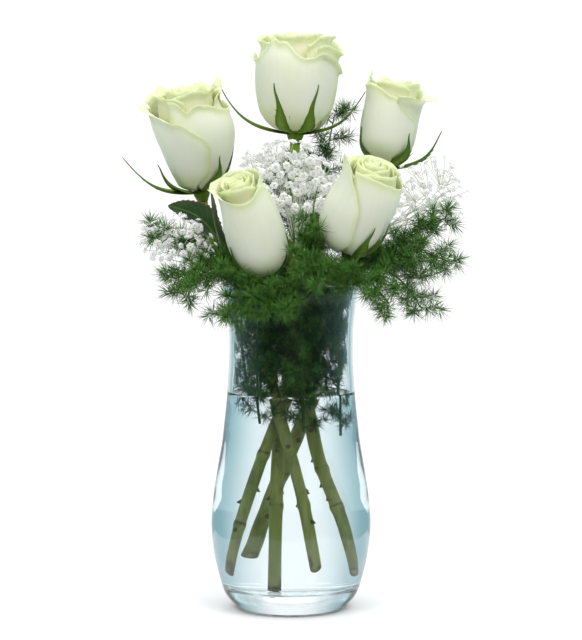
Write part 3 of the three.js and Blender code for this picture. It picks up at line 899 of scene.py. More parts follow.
def petal_material(settings):
    """Cream, greener at the foot and along the edge, and yellow deep in the heart, with fine fanning veins."""
    material, tree, shader = new_material(
        "Cream Petal",
        roughness=0.55,
        subsurface_weight=0.35,
        subsurface_radius=(0.004, 0.0045, 0.0025),
        subsurface_scale=0.8,
        sheen_weight=0.15,
        sheen_roughness=0.4,
        specular_ior_level=0.3,
    )
    u, v = uv_axes(tree)
    veins = use_group(tree, "Veins", Count=46.0, Length=2.2)["Mask"]
    cloud = use_group(tree, "Mottle", Scale=55.0, Stretch=0.6)["Mask"]
    edge_u = math_node(
        tree, "ABSOLUTE", math_node(tree, "SUBTRACT", math_node(tree, "MULTIPLY", u, 2.0), 1.0)
    )
    rim = math_node(tree, "MAXIMUM", map_range(tree, edge_u, 0.82, 1.0), map_range(tree, v, 0.86, 1.0))
    foot = map_range(tree, v, 0.42, 0.0)
    green = math_node(
        tree, "MAXIMUM", math_node(tree, "MULTIPLY", rim, 0.5), math_node(tree, "MULTIPLY", foot, 0.55)
    )
    green = math_node(tree, "ADD", green, math_node(tree, "MULTIPLY", veins, 0.07))
    green = math_node(tree, "ADD", green, math_node(tree, "MULTIPLY", cloud, 0.12))
    colour = mix_colour(tree, green, tuple(settings.cream), tuple(settings.lime))
    colour = mix_colour(tree, attribute_value(tree, "tone"), colour, tuple(settings.heart))
    tree.links.new(colour, shader.inputs["Base Color"])
    add_bump(tree, shader, veins, 0.25, 0.12 * MM)
    return material


def sepal_material(settings):
    material, tree, shader = new_material("Sepal", roughness=0.55, specular_ior_level=0.25)
    u, v = uv_axes(tree)
    veins = use_group(tree, "Veins", Count=14.0, Length=5.0)["Mask"]
    cloud = use_group(tree, "Mottle", Scale=220.0, Stretch=1.0)["Mask"]
    middle = math_node(tree, "ABSOLUTE", math_node(tree, "SUBTRACT", u, 0.5))
    light = math_node(tree, "MULTIPLY", map_range(tree, middle, 0.42, 0.05), map_range(tree, v, 0.85, 0.2))
    light = math_node(
        tree, "MULTIPLY", light, math_node(tree, "ADD", math_node(tree, "MULTIPLY", cloud, 0.5), 0.5)
    )
    colour = mix_colour(tree, light, tuple(settings.sepal), tuple(settings.sepal_light))
    tree.links.new(colour, shader.inputs["Base Color"])
    add_bump(tree, shader, veins, 0.35, 0.15 * MM)
    return material


def stem_material(settings):
    """Green with long pale streaks, brown where tone is 1, and pale where it is -1, on the cut face. Low down the
    green is painted lighter, to make up for the dim light in the glass and water.
    """
    material, tree, shader = new_material("Rose Stem", roughness=0.5, specular_ior_level=0.35)
    place = tree.nodes.new("ShaderNodeTexCoord")
    split = tree.nodes.new("ShaderNodeSeparateXYZ")
    tree.links.new(place.outputs["Object"], split.inputs[0])
    streak = use_group(tree, "Mottle", Scale=150.0, Stretch=0.12)
    blotch = use_group(tree, "Mottle", Scale=130.0, Stretch=0.7)
    tone = attribute_value(tree, "tone")
    green = mix_colour(
        tree, math_node(tree, "MULTIPLY", streak["Mask"], 0.5), tuple(settings.stem), tuple(settings.sepal)
    )
    # painted light: below 0.17 m up the stem colour is a lightened green that stands in for the light the stems lack
    # in the glass and water; above 0.25 m it is the neck's own green
    green = mix_colour(tree, map_range(tree, split.outputs["Z"], 0.17, 0.25), green, tuple(settings.neck))
    brown = math_node(
        tree, "MULTIPLY", blotch["Mask"], map_range(tree, split.outputs["Z"], 0.19, 0.1, 0.0, 0.62)
    )
    scar = map_range(tree, math_node(tree, "ADD", tone, brown), 0.3, 1.0)
    colour = mix_colour(tree, scar, green, tuple(settings.bark))
    colour = mix_colour(tree, map_range(tree, tone, -0.3, -0.9), colour, (0.50, 0.50, 0.26))
    tree.links.new(colour, shader.inputs["Base Color"])
    add_bump(tree, shader, streak["Grain"], 0.4, 0.25 * MM)
    return material


def leaf_material(settings):
    """Dark glossy green with a pale midrib and side veins, and a reddish edge."""
    material, tree, shader = new_material("Rose Leaf", roughness=0.36, specular_ior_level=0.5)
    u, v = uv_axes(tree)
    cloud = use_group(tree, "Mottle", Scale=120.0, Stretch=1.0)["Mask"]
    middle = math_node(tree, "ABSOLUTE", math_node(tree, "SUBTRACT", u, 0.5))
    rows = math_node(
        tree, "SUBTRACT", math_node(tree, "MULTIPLY", v, 9.0), math_node(tree, "MULTIPLY", middle, 5.0)
    )
    wave = math_node(tree, "ABSOLUTE", math_node(tree, "SUBTRACT", math_node(tree, "FRACT", rows), 0.5))
    side_vein = map_range(tree, wave, 0.09, 0.0)
    midrib = map_range(tree, middle, 0.05, 0.015)
    veins = math_node(tree, "MAXIMUM", midrib, math_node(tree, "MULTIPLY", side_vein, 0.5))
    colour = mix_colour(
        tree, math_node(tree, "MULTIPLY", cloud, 0.5), tuple(settings.leaf), tuple(settings.fern)
    )
    colour = mix_colour(tree, math_node(tree, "MULTIPLY", veins, 0.7), colour, tuple(settings.fern_light))
    colour = mix_colour(tree, map_range(tree, middle, 0.42, 0.5), colour, tuple(settings.leaf_edge))
    tree.links.new(colour, shader.inputs["Base Color"])
    add_bump(tree, shader, veins, -0.6, 0.3 * MM)
    return material


def fern_material(settings):
    material, tree, shader = new_material("Fern Needle", roughness=0.5, specular_ior_level=0.4)
    tone = attribute_value(tree, "tone")
    cloud = use_group(tree, "Mottle", Scale=60.0, Stretch=1.0)["Mask"]
    # light is partly the young needles' own lighter green and partly painted light, from the raised base of the
    # needles' tone
    light = math_node(
        tree, "ADD", math_node(tree, "MULTIPLY", tone, 0.75), math_node(tree, "MULTIPLY", cloud, 0.25)
    )
    tree.links.new(
        mix_colour(tree, light, tuple(settings.fern), tuple(settings.fern_light)),
        shader.inputs["Base Color"]
    )
    return material


def floret_material(settings):
    """White, a little green deep in the floret, where tone is low. The florets also glow a little: a painted glow that
    keeps them bright where they stand in shade.
    """
    material, tree, shader = new_material(
        "Floret",
        roughness=0.7,
        subsurface_weight=0.7,
        subsurface_radius=(0.002, 0.002, 0.002),
        subsurface_scale=1.0,
        specular_ior_level=0.2,
        # painted glow: a little light of the florets' own, though they are no lamp, which lightens them in shade
        emission_color=(1.0, 1.0, 0.97),
        emission_strength=0.26,
    )
    tone = attribute_value(tree, "tone")
    cloud = use_group(tree, "Mottle", Scale=300.0, Stretch=1.0)["Mask"]
    white = math_node(tree, "SUBTRACT", tone, math_node(tree, "MULTIPLY", cloud, 0.12))
    colour = mix_colour(tree, white, tuple(settings.twig), tuple(settings.floret))
    tree.links.new(colour, shader.inputs["Base Color"])
    return material


def floor_material():
    material, tree, shader = new_material("Pale Floor", roughness=0.9, specular_ior_level=0.1)
    cloud = use_group(tree, "Mottle", Scale=6.0, Stretch=1.0)["Mask"]
    colour = mix_colour(tree, cloud, (0.93, 0.93, 0.93), (0.95, 0.95, 0.95))
    tree.links.new(colour, shader.inputs["Base Color"])
    return material


# ---- Vase and water --------------------------------------------------------------------------------------------


def arc(centre, radius, start, end, count):
    """count points of a round corner in the [radius, height] plane, from one angle in degrees to the other."""
    angle = np.radians(np.linspace(start, end, count))
    return np.stack([centre[0] + radius * np.cos(angle), centre[1] + radius * np.sin(angle)], -1)


def inner_wall(depth, floor, top):
    """The wall's outline moved in by depth, from a rounded corner at the floor up to the top."""
    corner = 6 * MM
    z = np.linspace(floor + corner, top, 70)
    wall = np.stack([glass_radius(z) - depth, z], -1)
    bend = arc((wall[0, 0] - corner, floor + corner), corner, -90, -4, 8)
    dish = np.linspace(0, bend[0, 0], 8)[:-1]
    return np.concatenate([np.stack([dish, np.full(7, floor)], -1), bend, wall[1:]])


def vase_part(settings):
    """The vase turned about its axis: foot with a shallow hollow, outside, round lip, inside and solid floor."""
    top = GLASS[-1, 1] - settings.wall / 2
    foot = GLASS[0, 0]
    hollow = [
        (0, settings.hollow), (foot * 0.5, settings.hollow * 0.9), (foot * 0.78, settings.hollow * 0.4)
    ]
    ring = [(foot * 0.9, 0.0), (foot * 0.97, 0.02 * MM)]
    outside = GLASS[(GLASS[:, 1] > 0.3 * MM) & (GLASS[:, 1] < top)]
    middle = glass_radius(top) - settings.wall / 2
    lip = arc((middle, top), settings.wall / 2, 0, 180, 11)
    inside = inner_wall(settings.wall, settings.floor, top)[::-1][1:]
    return turned(np.concatenate([hollow, ring, outside, lip, inside]), 128)


def water_part(settings):
    """The water, which reaches a hair into the glass, and climbs it a little at its surface."""
    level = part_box("water")[1].z
    depth = settings.wall - 0.15 * MM
    wall = inner_wall(depth, settings.floor - 0.15 * MM, level + settings.meniscus)
    edge = wall[-1, 0]
    away = np.linspace(0, 1, 16)[1:] ** 1.5
    surface_r = edge * (1 - away)
    climb = settings.meniscus * np.exp(-(edge - surface_r) / (1.6 * MM))
    return turned(np.concatenate([wall, np.stack([surface_r, level + climb], -1)]), 128)


# ---- Roses -----------------------------------------------------------------------------------------------------


def petal_grid(rose, petal, lift, seed, rows=41, columns=31):
    """A petal as a grid: u from 0 to 1 across it, and v from 0 at its foot to 1 at its crest.

    It spans the crest's angles, narrower towards its foot, and its radius follows the bud. From start on, each
    step along v is turned outwards by the roll, and the steps are added up again, so that the edge rolls back
    without stretching. lift sets one side of the petal further out than the other, over its neighbour.
    """
    bud = BUDS[rose]
    chance = np.random.default_rng(seed)
    phase = chance.uniform(0, 2 * np.pi, 5)
    angles, heights, rolls = np.array(petal.crest, float).T
    angles = np.degrees(np.unwrap(np.radians(angles)))
    u = np.linspace(0, 1, rows)[:, None]
    v = np.linspace(0, 1, columns)[None, :]
    edge = angles[0] + (angles[-1] - angles[0]) * u
    wave = np.sin(9 * u + phase[0]) + 0.7 * np.sin(21 * u + phase[1]) + 0.4 * np.sin(44 * u + phase[2])
    crest = eased(angles, heights, edge) + 0.009 * petal.ruffle * wave
    foot = 0.01
    t = foot + v * (crest - foot)
    middle = (angles[0] + angles[-1]) / 2
    angle = np.radians(middle + (edge - middle) * (0.5 + 0.5 * smoothstep(-0.05, 0.45, v)))
    tuck = lift * (0.3 + u * 0.7) * smoothstep(0, 0.3, v)
    r = bud.radius * bud_share(rose, t, angle) * (1 - petal.inset) + tuck
    z = t * bud.length
    roll = eased(angles, rolls, edge) * (1 + 0.1 * petal.ruffle * np.sin(27 * u + phase[3]))
    turn = np.radians(roll) * smoothstep(petal.start, 1.0, v) ** 1.2
    turn = turn + np.radians(petal.flare) * smoothstep(0.35, 0.9, v)
    dr, dz = np.diff(r, axis=1), np.diff(z, axis=1)
    cos, sin = np.cos(turn[:, 1:]), np.sin(turn[:, 1:])
    r = r[:, :1] + np.concatenate([0 * r[:, :1], np.cumsum(dr * cos + dz * sin, axis=1)], axis=1)
    z = z[:, :1] + np.concatenate([0 * z[:, :1], np.cumsum(dz * cos - dr * sin, axis=1)], axis=1)
    return placed(bud, r * np.cos(angle), r * np.sin(angle), z)


def outer_petal(rose, number, settings):
    """One of the three loose petals. The frame counts them from the innermost."""
    petal = OUTER_PETALS[rose][3 - number]
    grid = petal_grid(rose, petal, 0.9 * MM, 10 * ROSES.index(rose) + number)
    return shell(grid, settings.petal_thickness / 2, 0.0)


def furled_petals(rose, settings):
    """The petals inside the loose ones, each turned 137.5 degrees on from the last and rolled tighter."""
    bud, furl = BUDS[rose], FURLS[rose]
    parts = []
    count = settings.inner_petals
    columns = 25
    v = np.linspace(0, 1, columns)[None, :]
    u = np.linspace(-1, 1, 11)
    for i in range(count):
        share = i / (count - 1)
        loose = 1 - share
        half = 76 + 74 * share
        height = furl.height + furl.rise * np.sin(share * np.pi / 2) - 0.03 * share**3
        tip = furl.tip * loose * np.exp(-(((u - 0.4 * (-1) ** i) / 0.16) ** 2))
        heights = height * (1 - (0.02 + 0.08 * loose) * np.abs(u) ** 3) + tip
        rolls = furl.curl * loose**1.4 * (1 - 0.4 * u**2)
        start = 137.5 * i + 40 * ROSES.index(rose)
        crest = np.stack([start + half * u, heights, rolls], -1)
        petal = Petal(
            crest, 0.12 + 0.66 * share**0.9, 0.86, furl.ruffle * (0.3 + 0.7 * loose), -2 - 5 * share
        )
        grid = petal_grid(rose, petal, 0.7 * MM, 100 + 20 * ROSES.index(rose) + i, 37, columns)
        deep = (0.25 + 0.55 * share) * smoothstep(1.0, 0.84, v)
        parts.append(shell(grid, settings.petal_thickness / 2, np.broadcast_to(deep, (37, columns))))
    heights = np.linspace(0.02, 0.86, 12)
    core = np.column_stack([bud.radius * bud_share(rose, heights, 1.57) * 0.28, heights * bud.length])
    core = turned(np.concatenate([[(0, 0.01 * bud.length)], core, [(0, 0.9 * bud.length)]]), 24)
    x, y, z = core.points.T
    parts.append(Part(placed(bud, x, y, z), core.faces, core.uv, np.full(len(x), 0.7)))
    return merge(parts)


def sepal_line(rose, direction, spread, reach):
    """A sepal's middle line as [radius, height]: out of the hip's edge, then close to the bud or out level and up."""
    bud = BUDS[rose]
    z = np.array([0.12, 0.3, 0.6, 1.0]) * reach
    hugging = np.stack(
        [bud.radius * bud_share(rose, z / bud.length, np.radians(direction)) + 0.9 * MM, z], -1
    )
    level = reach * np.array([[0.36, 0.03], [0.62, 0.13], [0.82, 0.3], [1.0, 0.54]])
    return [(3.2 * MM, -1.2 * MM), *(hugging * (1 - spread) + level * spread)]


def calyx_part(rose):
    """The hip and its five sepals.

    A sepal is a strip along its line, cupped along its middle. It is widest at a third of its length and narrows to
    a long thin tip, and two of the five carry thin side lobes.
    """
    bud = BUDS[rose]
    hip = turned(np.array(HIP_OUTLINE) * MM, 24)
    x, y, z = hip.points.T
    parts = [Part(placed(bud, x, y, z), hip.faces, 0 * hip.uv + 0.35, hip.tone)]
    columns = 40
    for i, (direction, spread, reach) in enumerate(SEPALS[rose]):
        line = smooth_line(sepal_line(rose, direction, spread, reach * MM), columns)
        v = np.linspace(0, 1, columns)[None, :]
        u = np.linspace(-1, 1, 13)[:, None]
        half_width = eased([0, 0.16, 0.34, 0.52, 0.7, 0.86, 1.0], [3.2, 4.7, 5.1, 3.5, 1.5, 0.65, 0.2], v) * MM
        turn = np.radians(direction) + 0.14 * np.sin(2.6 * v * np.pi) * v * (i % 2 - 0.5)
        fold = 0.3 * half_width * u**2 * (1.0 if spread > 0.5 else -0.7)
        along = unit(np.gradient(line, axis=0))
        r = line[:, 0][None, :] + fold * along[:, 1][None, :]
        z = line[:, 1][None, :] - fold * along[:, 0][None, :]
        side = half_width * u
        x = r * np.cos(turn) - side * np.sin(turn)
        y = r * np.sin(turn) + side * np.cos(turn)
        grid = placed(bud, x, y, z + 0 * side)
        parts.append(shell(grid, 0.3 * MM, 0.0))
        if i in (0, 3):
            at = np.array([15, 19, 23])
            for hand in (-1, 1):
                roots = grid[6 + 4 * hand, at]
                forward = unit(grid[6, at + 6] - grid[6, at])
                away = unit(grid[12 if hand > 0 else 0, at] - grid[6, at])
                middle = roots + (forward * 0.8 + away * 0.6) * np.array([[3.6], [3.0], [2.4]]) * MM
                tips = middle + (forward * 0.95 + away * 0.2) * np.array([[3.2], [2.6], [2.0]]) * MM
                parts.append(rods(roots, middle, 0.45 * MM, 0.28 * MM))
                parts.append(rods(middle, tips, 0.28 * MM, 0.1 * MM))
    return merge(parts)


def stem_part(rose, settings):
    """A cut stem: it swells at its knots, has blunt prickles and brown scars, and ends in a slanting cut."""
    count = 150
    line = stem_line(f"{rose}_stem", count)
    chance = np.random.default_rng(7 + ROSES.index(rose))
    gone = np.r_[0, np.cumsum(np.linalg.norm(np.diff(line, axis=0), axis=1))]
    knots = np.array([0.17, 0.36, 0.55, 0.74]) * gone[-1] + chance.uniform(-8, 8, 4) * MM
    bulge = sum(np.exp(-(((gone - knot) / (2.2 * MM)) ** 2)) for knot in knots)
    ring = sum(np.exp(-(((gone - knot - 1.5 * MM) / (0.8 * MM)) ** 2)) for knot in knots)
    taper = 1.02 - 0.1 * gone / gone[-1]
    sides = 24
    angle = np.linspace(0, 2 * np.pi, sides, endpoint=False)
    phase = chance.uniform(0, 2 * np.pi, 3)
    uneven = 0.035 * np.sin(3 * angle + phase[0]) + 0.03 * np.sin(
        gone[:, None] / (9 * MM) + 2 * angle + phase[1]
    )
    radii = settings.stem_radius * (taper[:, None] + 0.16 * bulge[:, None] + uneven)
    tone = np.clip(0.6 * ring + 0.5 * (gone < 9 * MM) * (1 - gone / (9 * MM)), 0, 1)
    cut = 0.75 * (1 if rose in ("rose_left", "rose_front_right") else -1)
    parts = [tube(line, radii, sides, (0.0, 1.0, 0.0), tone, shear=(cut, 0.0))]
    first = len(parts[0].points) - 2
    parts[0].tone[first] = -1.0
    forward = unit(np.gradient(line, axis=0))
    for where in np.r_[chance.uniform(0.06, 0.6, 7)]:
        i = int(where * count)
        away = chance.uniform(0, 2 * np.pi)
        side = unit(np.cross(forward[i], [0.0, 1.0, 0.0]))
        out = side * np.cos(away) + np.cross(forward[i], side) * np.sin(away)
        root = line[i] + out * settings.stem_radius * 0.7
        tip = line[i] + out * (settings.stem_radius + 1.9 * MM) - forward[i] * 1.2 * MM
        steps = np.array([0, 0.45, 0.75, 1.0])[:, None]
        radius = np.array([1.9, 1.2, 0.65, 0.3]) * MM
        parts.append(
            tube(root + (tip - root) * steps, radius, 8, forward[i], np.array([0.3, 0.6, 0.8, 0.9]))
        )
    return merge(parts)


# ---- Leaves, baby's breath and fern ----------------------------------------------------------------------------


def level_round(points):
    """The level direction round the vase's axis at each point."""
    return unit(np.stack([-points[..., 1], points[..., 0], 0 * points[..., 0]], -1))


def leaf_part(name):
    """A saw-edged leaf along its midrib, folded up on both sides of it and waved along its edge."""
    leaf = LEAVES[name]
    columns = 61
    line = smooth_line(np.array(leaf.route) * MM, columns)
    forward = unit(np.gradient(line, axis=0))
    across = level_round(line)
    side = unit(across - forward * np.sum(across * forward, -1, keepdims=True))
    roll = np.radians(leaf.roll)
    side = side * np.cos(roll) + np.cross(forward, side) * np.sin(roll)
    out = np.cross(side, forward)
    v = np.linspace(0, 1, columns)[None, :]
    u = np.linspace(-1, 1, 19)[:, None]
    saw = 1 - 0.13 * np.abs(u) ** 4 * ((v * 15) % 1)
    half_width = leaf.half_width * MM * np.sin(np.pi * np.clip(v, 0, 1) ** 0.85) ** 0.75 * saw + 0.35 * MM
    lift = 0.28 * np.abs(u) * half_width + 0.05 * half_width * np.sin(v * 17) * u**2
    grid = line[None] + (u * half_width)[..., None] * side[None] - lift[..., None] * out[None]
    blade = shell(grid, 0.22 * MM, 0.0)
    stalk = tube(line, np.linspace(0.8, 0.3, columns) * MM, 6, side)
    return merge([blade, Part(stalk.points, stalk.faces, 0 * stalk.uv + 0.5, stalk.tone)])


def floret_shape():
    """A small double floret round +Z: two whorls of kite-shaped petals, each a thin closed wedge, and a green foot."""
    points, faces, tone = [], [], []
    for count, reach, lift, width in ((6, 2.7, 0.7, 1.15), (5, 1.7, 1.5, 0.9)):
        angle = np.arange(count) * 2 * np.pi / count + reach
        away = np.stack([np.cos(angle), np.sin(angle), 0 * angle], -1)
        round_it = np.stack([-np.sin(angle), np.cos(angle), 0 * angle], -1)
        up = np.array([0, 0, 1.0])
        foot = away * 0.2 + up * 0.3
        left = away * reach * 0.72 + round_it * width + up * lift * 0.9
        right = away * reach * 0.72 - round_it * width + up * lift * 0.9
        crest = away * reach + up * lift
        belly = away * reach * 0.6 + up * (lift * 0.7 - 0.25)
        start = sum(len(p) for p in points)
        points.append(np.stack([foot, right, crest, left, belly], 1).reshape(-1, 3))
        wedge = np.array([[0, 1, 2], [0, 2, 3], [0, 4, 1], [1, 4, 2], [2, 4, 3], [3, 4, 0]])
        faces.append((wedge[None] + start + 5 * np.arange(count)[:, None, None]).reshape(-1, 3))
        tone.append(np.tile([0.55, 1.0, 1.0, 1.0, 0.9], count))
    points, faces, tone = np.concatenate(points), np.concatenate(faces), np.concatenate(tone)
    return points * MM, faces, tone


def sprig_part(name):
    """A sprig: a stem, hubs spread through its cloud, and florets on fine stalks that fan out from the hubs.

    The florets' places are the sunflower spiral on the cloud's shell, each at its own depth.
    """
    sprig = SPRIGS[name]
    chance = np.random.default_rng(40 + list(SPRIGS).index(name))
    crown, spread = np.array(sprig.crown) * MM, np.array(sprig.spread) * MM
    count = sprig.florets
    turn = np.arange(count) * np.pi * (3 - np.sqrt(5))
    level = 1 - 1.72 * (np.arange(count) + 0.5) / count
    flat = np.sqrt(1 - level**2)
    away = np.stack([flat * np.cos(turn), flat * np.sin(turn), level], -1)
    places = crown + away * spread * chance.uniform(0.35, 1.0, (count, 1)) ** 0.6
    places += chance.normal(0, 0.9, (count, 3)) * MM
    places = places[~inside_buds(places, 1.2 * MM)]
    count = len(places)
    stem = smooth_line(np.array(sprig.stem) * MM, 30)
    parts = [tube(stem, np.linspace(0.95, 0.6, 30) * MM, 6, (0.0, 1.0, 0.0))]
    hubs = max(4, count // 9)
    hub_places = crown + (places[chance.permutation(count)[:hubs]] - crown) * 0.55 - [0, 0, 5 * MM]
    hub_roots = stem[chance.integers(18, 30, hubs)]
    middle = (hub_roots + hub_places) / 2 - chance.uniform(0, 4, (hubs, 1)) * [0, 0, MM]
    parts.append(rods(hub_roots, middle, 0.42 * MM, 0.34 * MM))
    parts.append(rods(middle, hub_places, 0.34 * MM, 0.26 * MM))
    nearest = np.argmin(np.linalg.norm(places[:, None] - hub_places[None], axis=-1), axis=1)
    hub = hub_places[nearest]
    knee = hub + (places - hub) * 0.55 + chance.normal(0, 0.8, (count, 3)) * MM
    parts.append(rods(hub, knee, 0.22 * MM, 0.17 * MM))
    parts.append(rods(knee, places, 0.17 * MM, 0.2 * MM))
    twigs = merge(parts)
    shape, faces, tone = floret_shape()
    axis = unit(unit(places - knee) + chance.normal(0, 0.35, (count, 3)) + [0, -0.25, 0.35])
    helper = unit(chance.normal(0, 1, (count, 3)))
    side = unit(np.cross(axis, helper))
    out = np.cross(axis, side)
    size = sprig.size * chance.uniform(0.72, 1.12, (count, 1, 1))
    heads = places[:, None] + size * (
        shape[None, :, :1] * side[:, None] + shape[None, :, 1:2] * out[:, None] + shape[None, :, 2:] * axis[
            :, None
        ]
    )
    head_faces = (faces[None] + len(shape) * np.arange(count)[:, None, None]).reshape(-1, 3)
    heads = Part(
        heads.reshape(-1, 3), [head_faces], np.zeros((count * len(shape), 2)), np.tile(tone, count)
    )
    return merge([twigs, heads])


def keep_off_glass(points, inside, gap=0.7 * MM):
    """Points moved level so that none is in the glass: inwards where inside is true, and else outwards."""
    top = GLASS[-1, 1]
    radius = np.hypot(points[..., 0], points[..., 1])
    outer = glass_radius(points[..., 2])
    inner = outer - 2.6 * MM - gap
    below = points[..., 2] < top + 0.5 * MM
    pulled = np.where(below & inside, np.minimum(radius, inner), radius)
    pushed = np.where(below & ~inside & (radius > inner), np.maximum(pulled, outer + gap), pulled)
    scale = (pushed / np.maximum(radius, 1e-9))[..., None]
    return np.concatenate([points[..., :2] * scale, points[..., 2:]], -1)


def fern_part(name, settings):
    """A fern's fronds."""
    chance = np.random.default_rng(60 + list(FERNS).index(name))
    return merge([frond_part(frond, chance, settings) for frond in FERNS[name]])


def frond_part(fern, chance, settings):
    """A frond: its stem, side branches that fan out round it, and a burst of needles at each knot of a branch.

    A branch's reach is the frond's half-width or half-thickness by its direction. The needles of a burst point
    every way round their knot, more forwards than back.
    """
    line = smooth_line(np.array(fern.route) * MM, 60)
    forward = unit(np.gradient(line, axis=0))
    across = level_round(line)
    side = unit(across - forward * np.sum(across * forward, -1, keepdims=True))
    out = np.cross(side, forward)
    count = settings.branches
    at = np.clip(np.linspace(0.03, 1.0, count) + chance.normal(0, 0.01, count), 0, 1)
    i = np.round(at * 59).astype(int)
    growth = smoothstep(0.35, 0.8, at)[:, None]
    reach = (np.array(fern.inside) * (1 - growth) + np.array(fern.outside) * growth) * MM
    turn = np.arange(count) * np.pi * (3 - np.sqrt(5)) + chance.normal(0, 0.3, count)
    sideways = side[i] * (np.cos(turn) * reach[:, 0])[:, None] + out[i] * (np.sin(turn) * reach[:, 1])[
        :, None
    ]
    roots = line[i]
    ends = roots + sideways * 0.8 + forward[i] * (5 * MM)
    is_in = (roots[:, 2] < GLASS[-1, 1] + 1 * MM) & (
        np.hypot(roots[:, 0], roots[:, 1]) < glass_radius(roots[:, 2])
    )
    knots = 4
    share = (np.arange(knots) + 1.0) / knots
    centres = roots[:, None] + (ends - roots)[:, None] * share[None, :, None]
    centres += chance.normal(0, 0.8, centres.shape) * MM
    heading = unit(ends - roots)[:, None, None]
    spray = unit(unit(chance.normal(0, 1, (count, knots, settings.tuft, 3))) + heading * 0.45 + [0, 0, 0.1])
    length = chance.uniform(0.5, 1.0, (count, knots, settings.tuft, 1)) * settings.needle_length
    length = length * (0.85 + 0.2 * growth[:, None, None])
    needle_roots = np.broadcast_to(centres[:, :, None], spray.shape)
    tips = needle_roots + spray * length
    inside = np.broadcast_to(is_in[:, None, None], spray.shape[:3])
    needle_roots = keep_off_glass(needle_roots, inside).reshape(-1, 3)
    tips = keep_off_glass(tips, inside).reshape(-1, 3)
    # The base of 0.4 is painted light: it lightens all the needles, so that those low in the vase's neck, where light
    # is dim, look less dark; the rise with growth is the young needles' own lighter green.
    tone = np.broadcast_to((0.4 + 0.2 * growth)[:, None], spray.shape[:3]).reshape(-1)
    tone = tone + chance.uniform(-0.25, 0.35, len(tone))
    clear = ~(inside_buds(needle_roots, 0.4 * MM) | inside_buds(tips, 0.2 * MM))
    clear &= np.linalg.norm(tips - needle_roots, axis=1) > 1.5 * MM
    blades = needles(needle_roots[clear], tips[clear], settings.needle_width, np.clip(tone[clear], 0, 1))
    stem = tube(line, np.linspace(0.9, 0.4, 60) * MM, 6, side, np.full(60, 0.1))
    twigs = rods(keep_off_glass(roots, is_in), keep_off_glass(ends, is_in), 0.35 * MM, 0.2 * MM, 0.15)
    return merge([stem, twigs, blades])


# ---- Stage -----------------------------------------------------------------------------------------------------


def build_world(settings):
    """Light from all round: white behind the vase, cooler from both sides, brighter above, and dim in front, so
    that the glass mirrors nothing bright."""
    world = bpy.data.worlds.new("Studio")
    bpy.context.scene.world = world
    world.use_nodes = True
    tree = world.node_tree
    background = tree.nodes["Background"]
    place = tree.nodes.new("ShaderNodeTexCoord")
    split = tree.nodes.new("ShaderNodeSeparateXYZ")
    tree.links.new(place.outputs["Generated"], split.inputs[0])
    sideways = math_node(tree, "ABSOLUTE", split.outputs["X"])
    colour = mix_colour(
        tree, map_range(tree, sideways, 0.06, 0.66), tuple(settings.sky), tuple(settings.side)
    )
    level = map_range(tree, math_node(tree, "ABSOLUTE", split.outputs["Z"]), 0.6, 0.3)
    colour = mix_colour(tree, level, (1.0, 1.0, 1.0), colour)
    tree.links.new(colour, background.inputs["Color"])
    front = map_range(tree, split.outputs["Y"], -0.25, -0.75)
    dim = map_range(tree, math_node(tree, "MULTIPLY", front, level), 0.0, 1.0, 1.0, settings.front)
    bright = map_range(tree, split.outputs["Z"], 0.1, 0.9, 1.08, 1.4)
    tree.links.new(math_node(tree, "MULTIPLY", dim, bright), background.inputs["Strength"])


def add_softbox(name, place, target, size, power):
    light = bpy.data.lights.new(name, "AREA")
    light.shape = "RECTANGLE"
    light.size, light.size_y = size
    light.energy = power
    lamp = bpy.data.objects.new(name, light)
    bpy.context.scene.collection.objects.link(lamp)
    lamp.location = place
    direction = Vector(target) - Vector(place)
    lamp.rotation_euler = direction.to_track_quat("-Z", "Y").to_euler()
    return lamp


def add_camera(settings):
    data = bpy.data.cameras.new("Camera")
    data.lens = settings.lens
    data.clip_start = 0.05
    data.clip_end = 50.0
    camera = bpy.data.objects.new("Camera", data)
    bpy.context.scene.collection.objects.link(camera)
    camera.location = (0.0, -settings.camera_distance, settings.camera_height)
    direction = Vector((0.0, 0.0, settings.target_height)) - camera.location
    camera.rotation_euler = direction.to_track_quat("-Z", "Y").to_euler()
    bpy.context.scene.camera = camera


def add_floor(settings):
    half = settings.floor_size / 2
    points = np.array([[-half, -half, 0], [half, -half, 0], [half, half, 0], [-half, half, 0]])
    part = Part(points, [np.array([[0, 1, 2, 3]])], points[:, :2], np.zeros(4))
    mesh = build_mesh("floor", part)
    mesh.materials.append(floor_material())
    floor = bpy.data.objects.new("floor", mesh)
    bpy.context.scene.collection.objects.link(floor)


# ---- Operators -------------------------------------------------------------------------------------------------


class BOUQUET_OT_stage(bpy.types.Operator):
    """Adds the pale floor, the soft studio light and the camera"""

    bl_idname = "bouquet.stage"
    bl_label = "Add Stage"

    def execute(self, context):
        settings = context.scene.bouquet_stage
        context.scene.view_settings.view_transform = "Standard"
        build_world(settings)
        add_floor(settings)
        add_camera(settings)
        add_softbox("key light", (0.55, -0.95, 1.25), (0, 0, 0.22), (0.8, 0.6), 8.0)
        add_softbox("fill light", (-0.6, -0.95, 1.2), (0, 0, 0.22), (0.8, 0.6), 6.0)
        return {"FINISHED"}


class BOUQUET_OT_vase(bpy.types.Operator):
    """Adds the glass vase and the water in it"""

    bl_idname = "bouquet.vase"
    bl_label = "Add Vase and Water"

    def execute(self, context):
        settings = context.scene.bouquet_vase
        add_piece("glass_vase", vase_part(settings), glass_material(settings), "vase")
        add_piece("vase_water", water_part(settings), water_material(settings), "water")
        return {"FINISHED"}


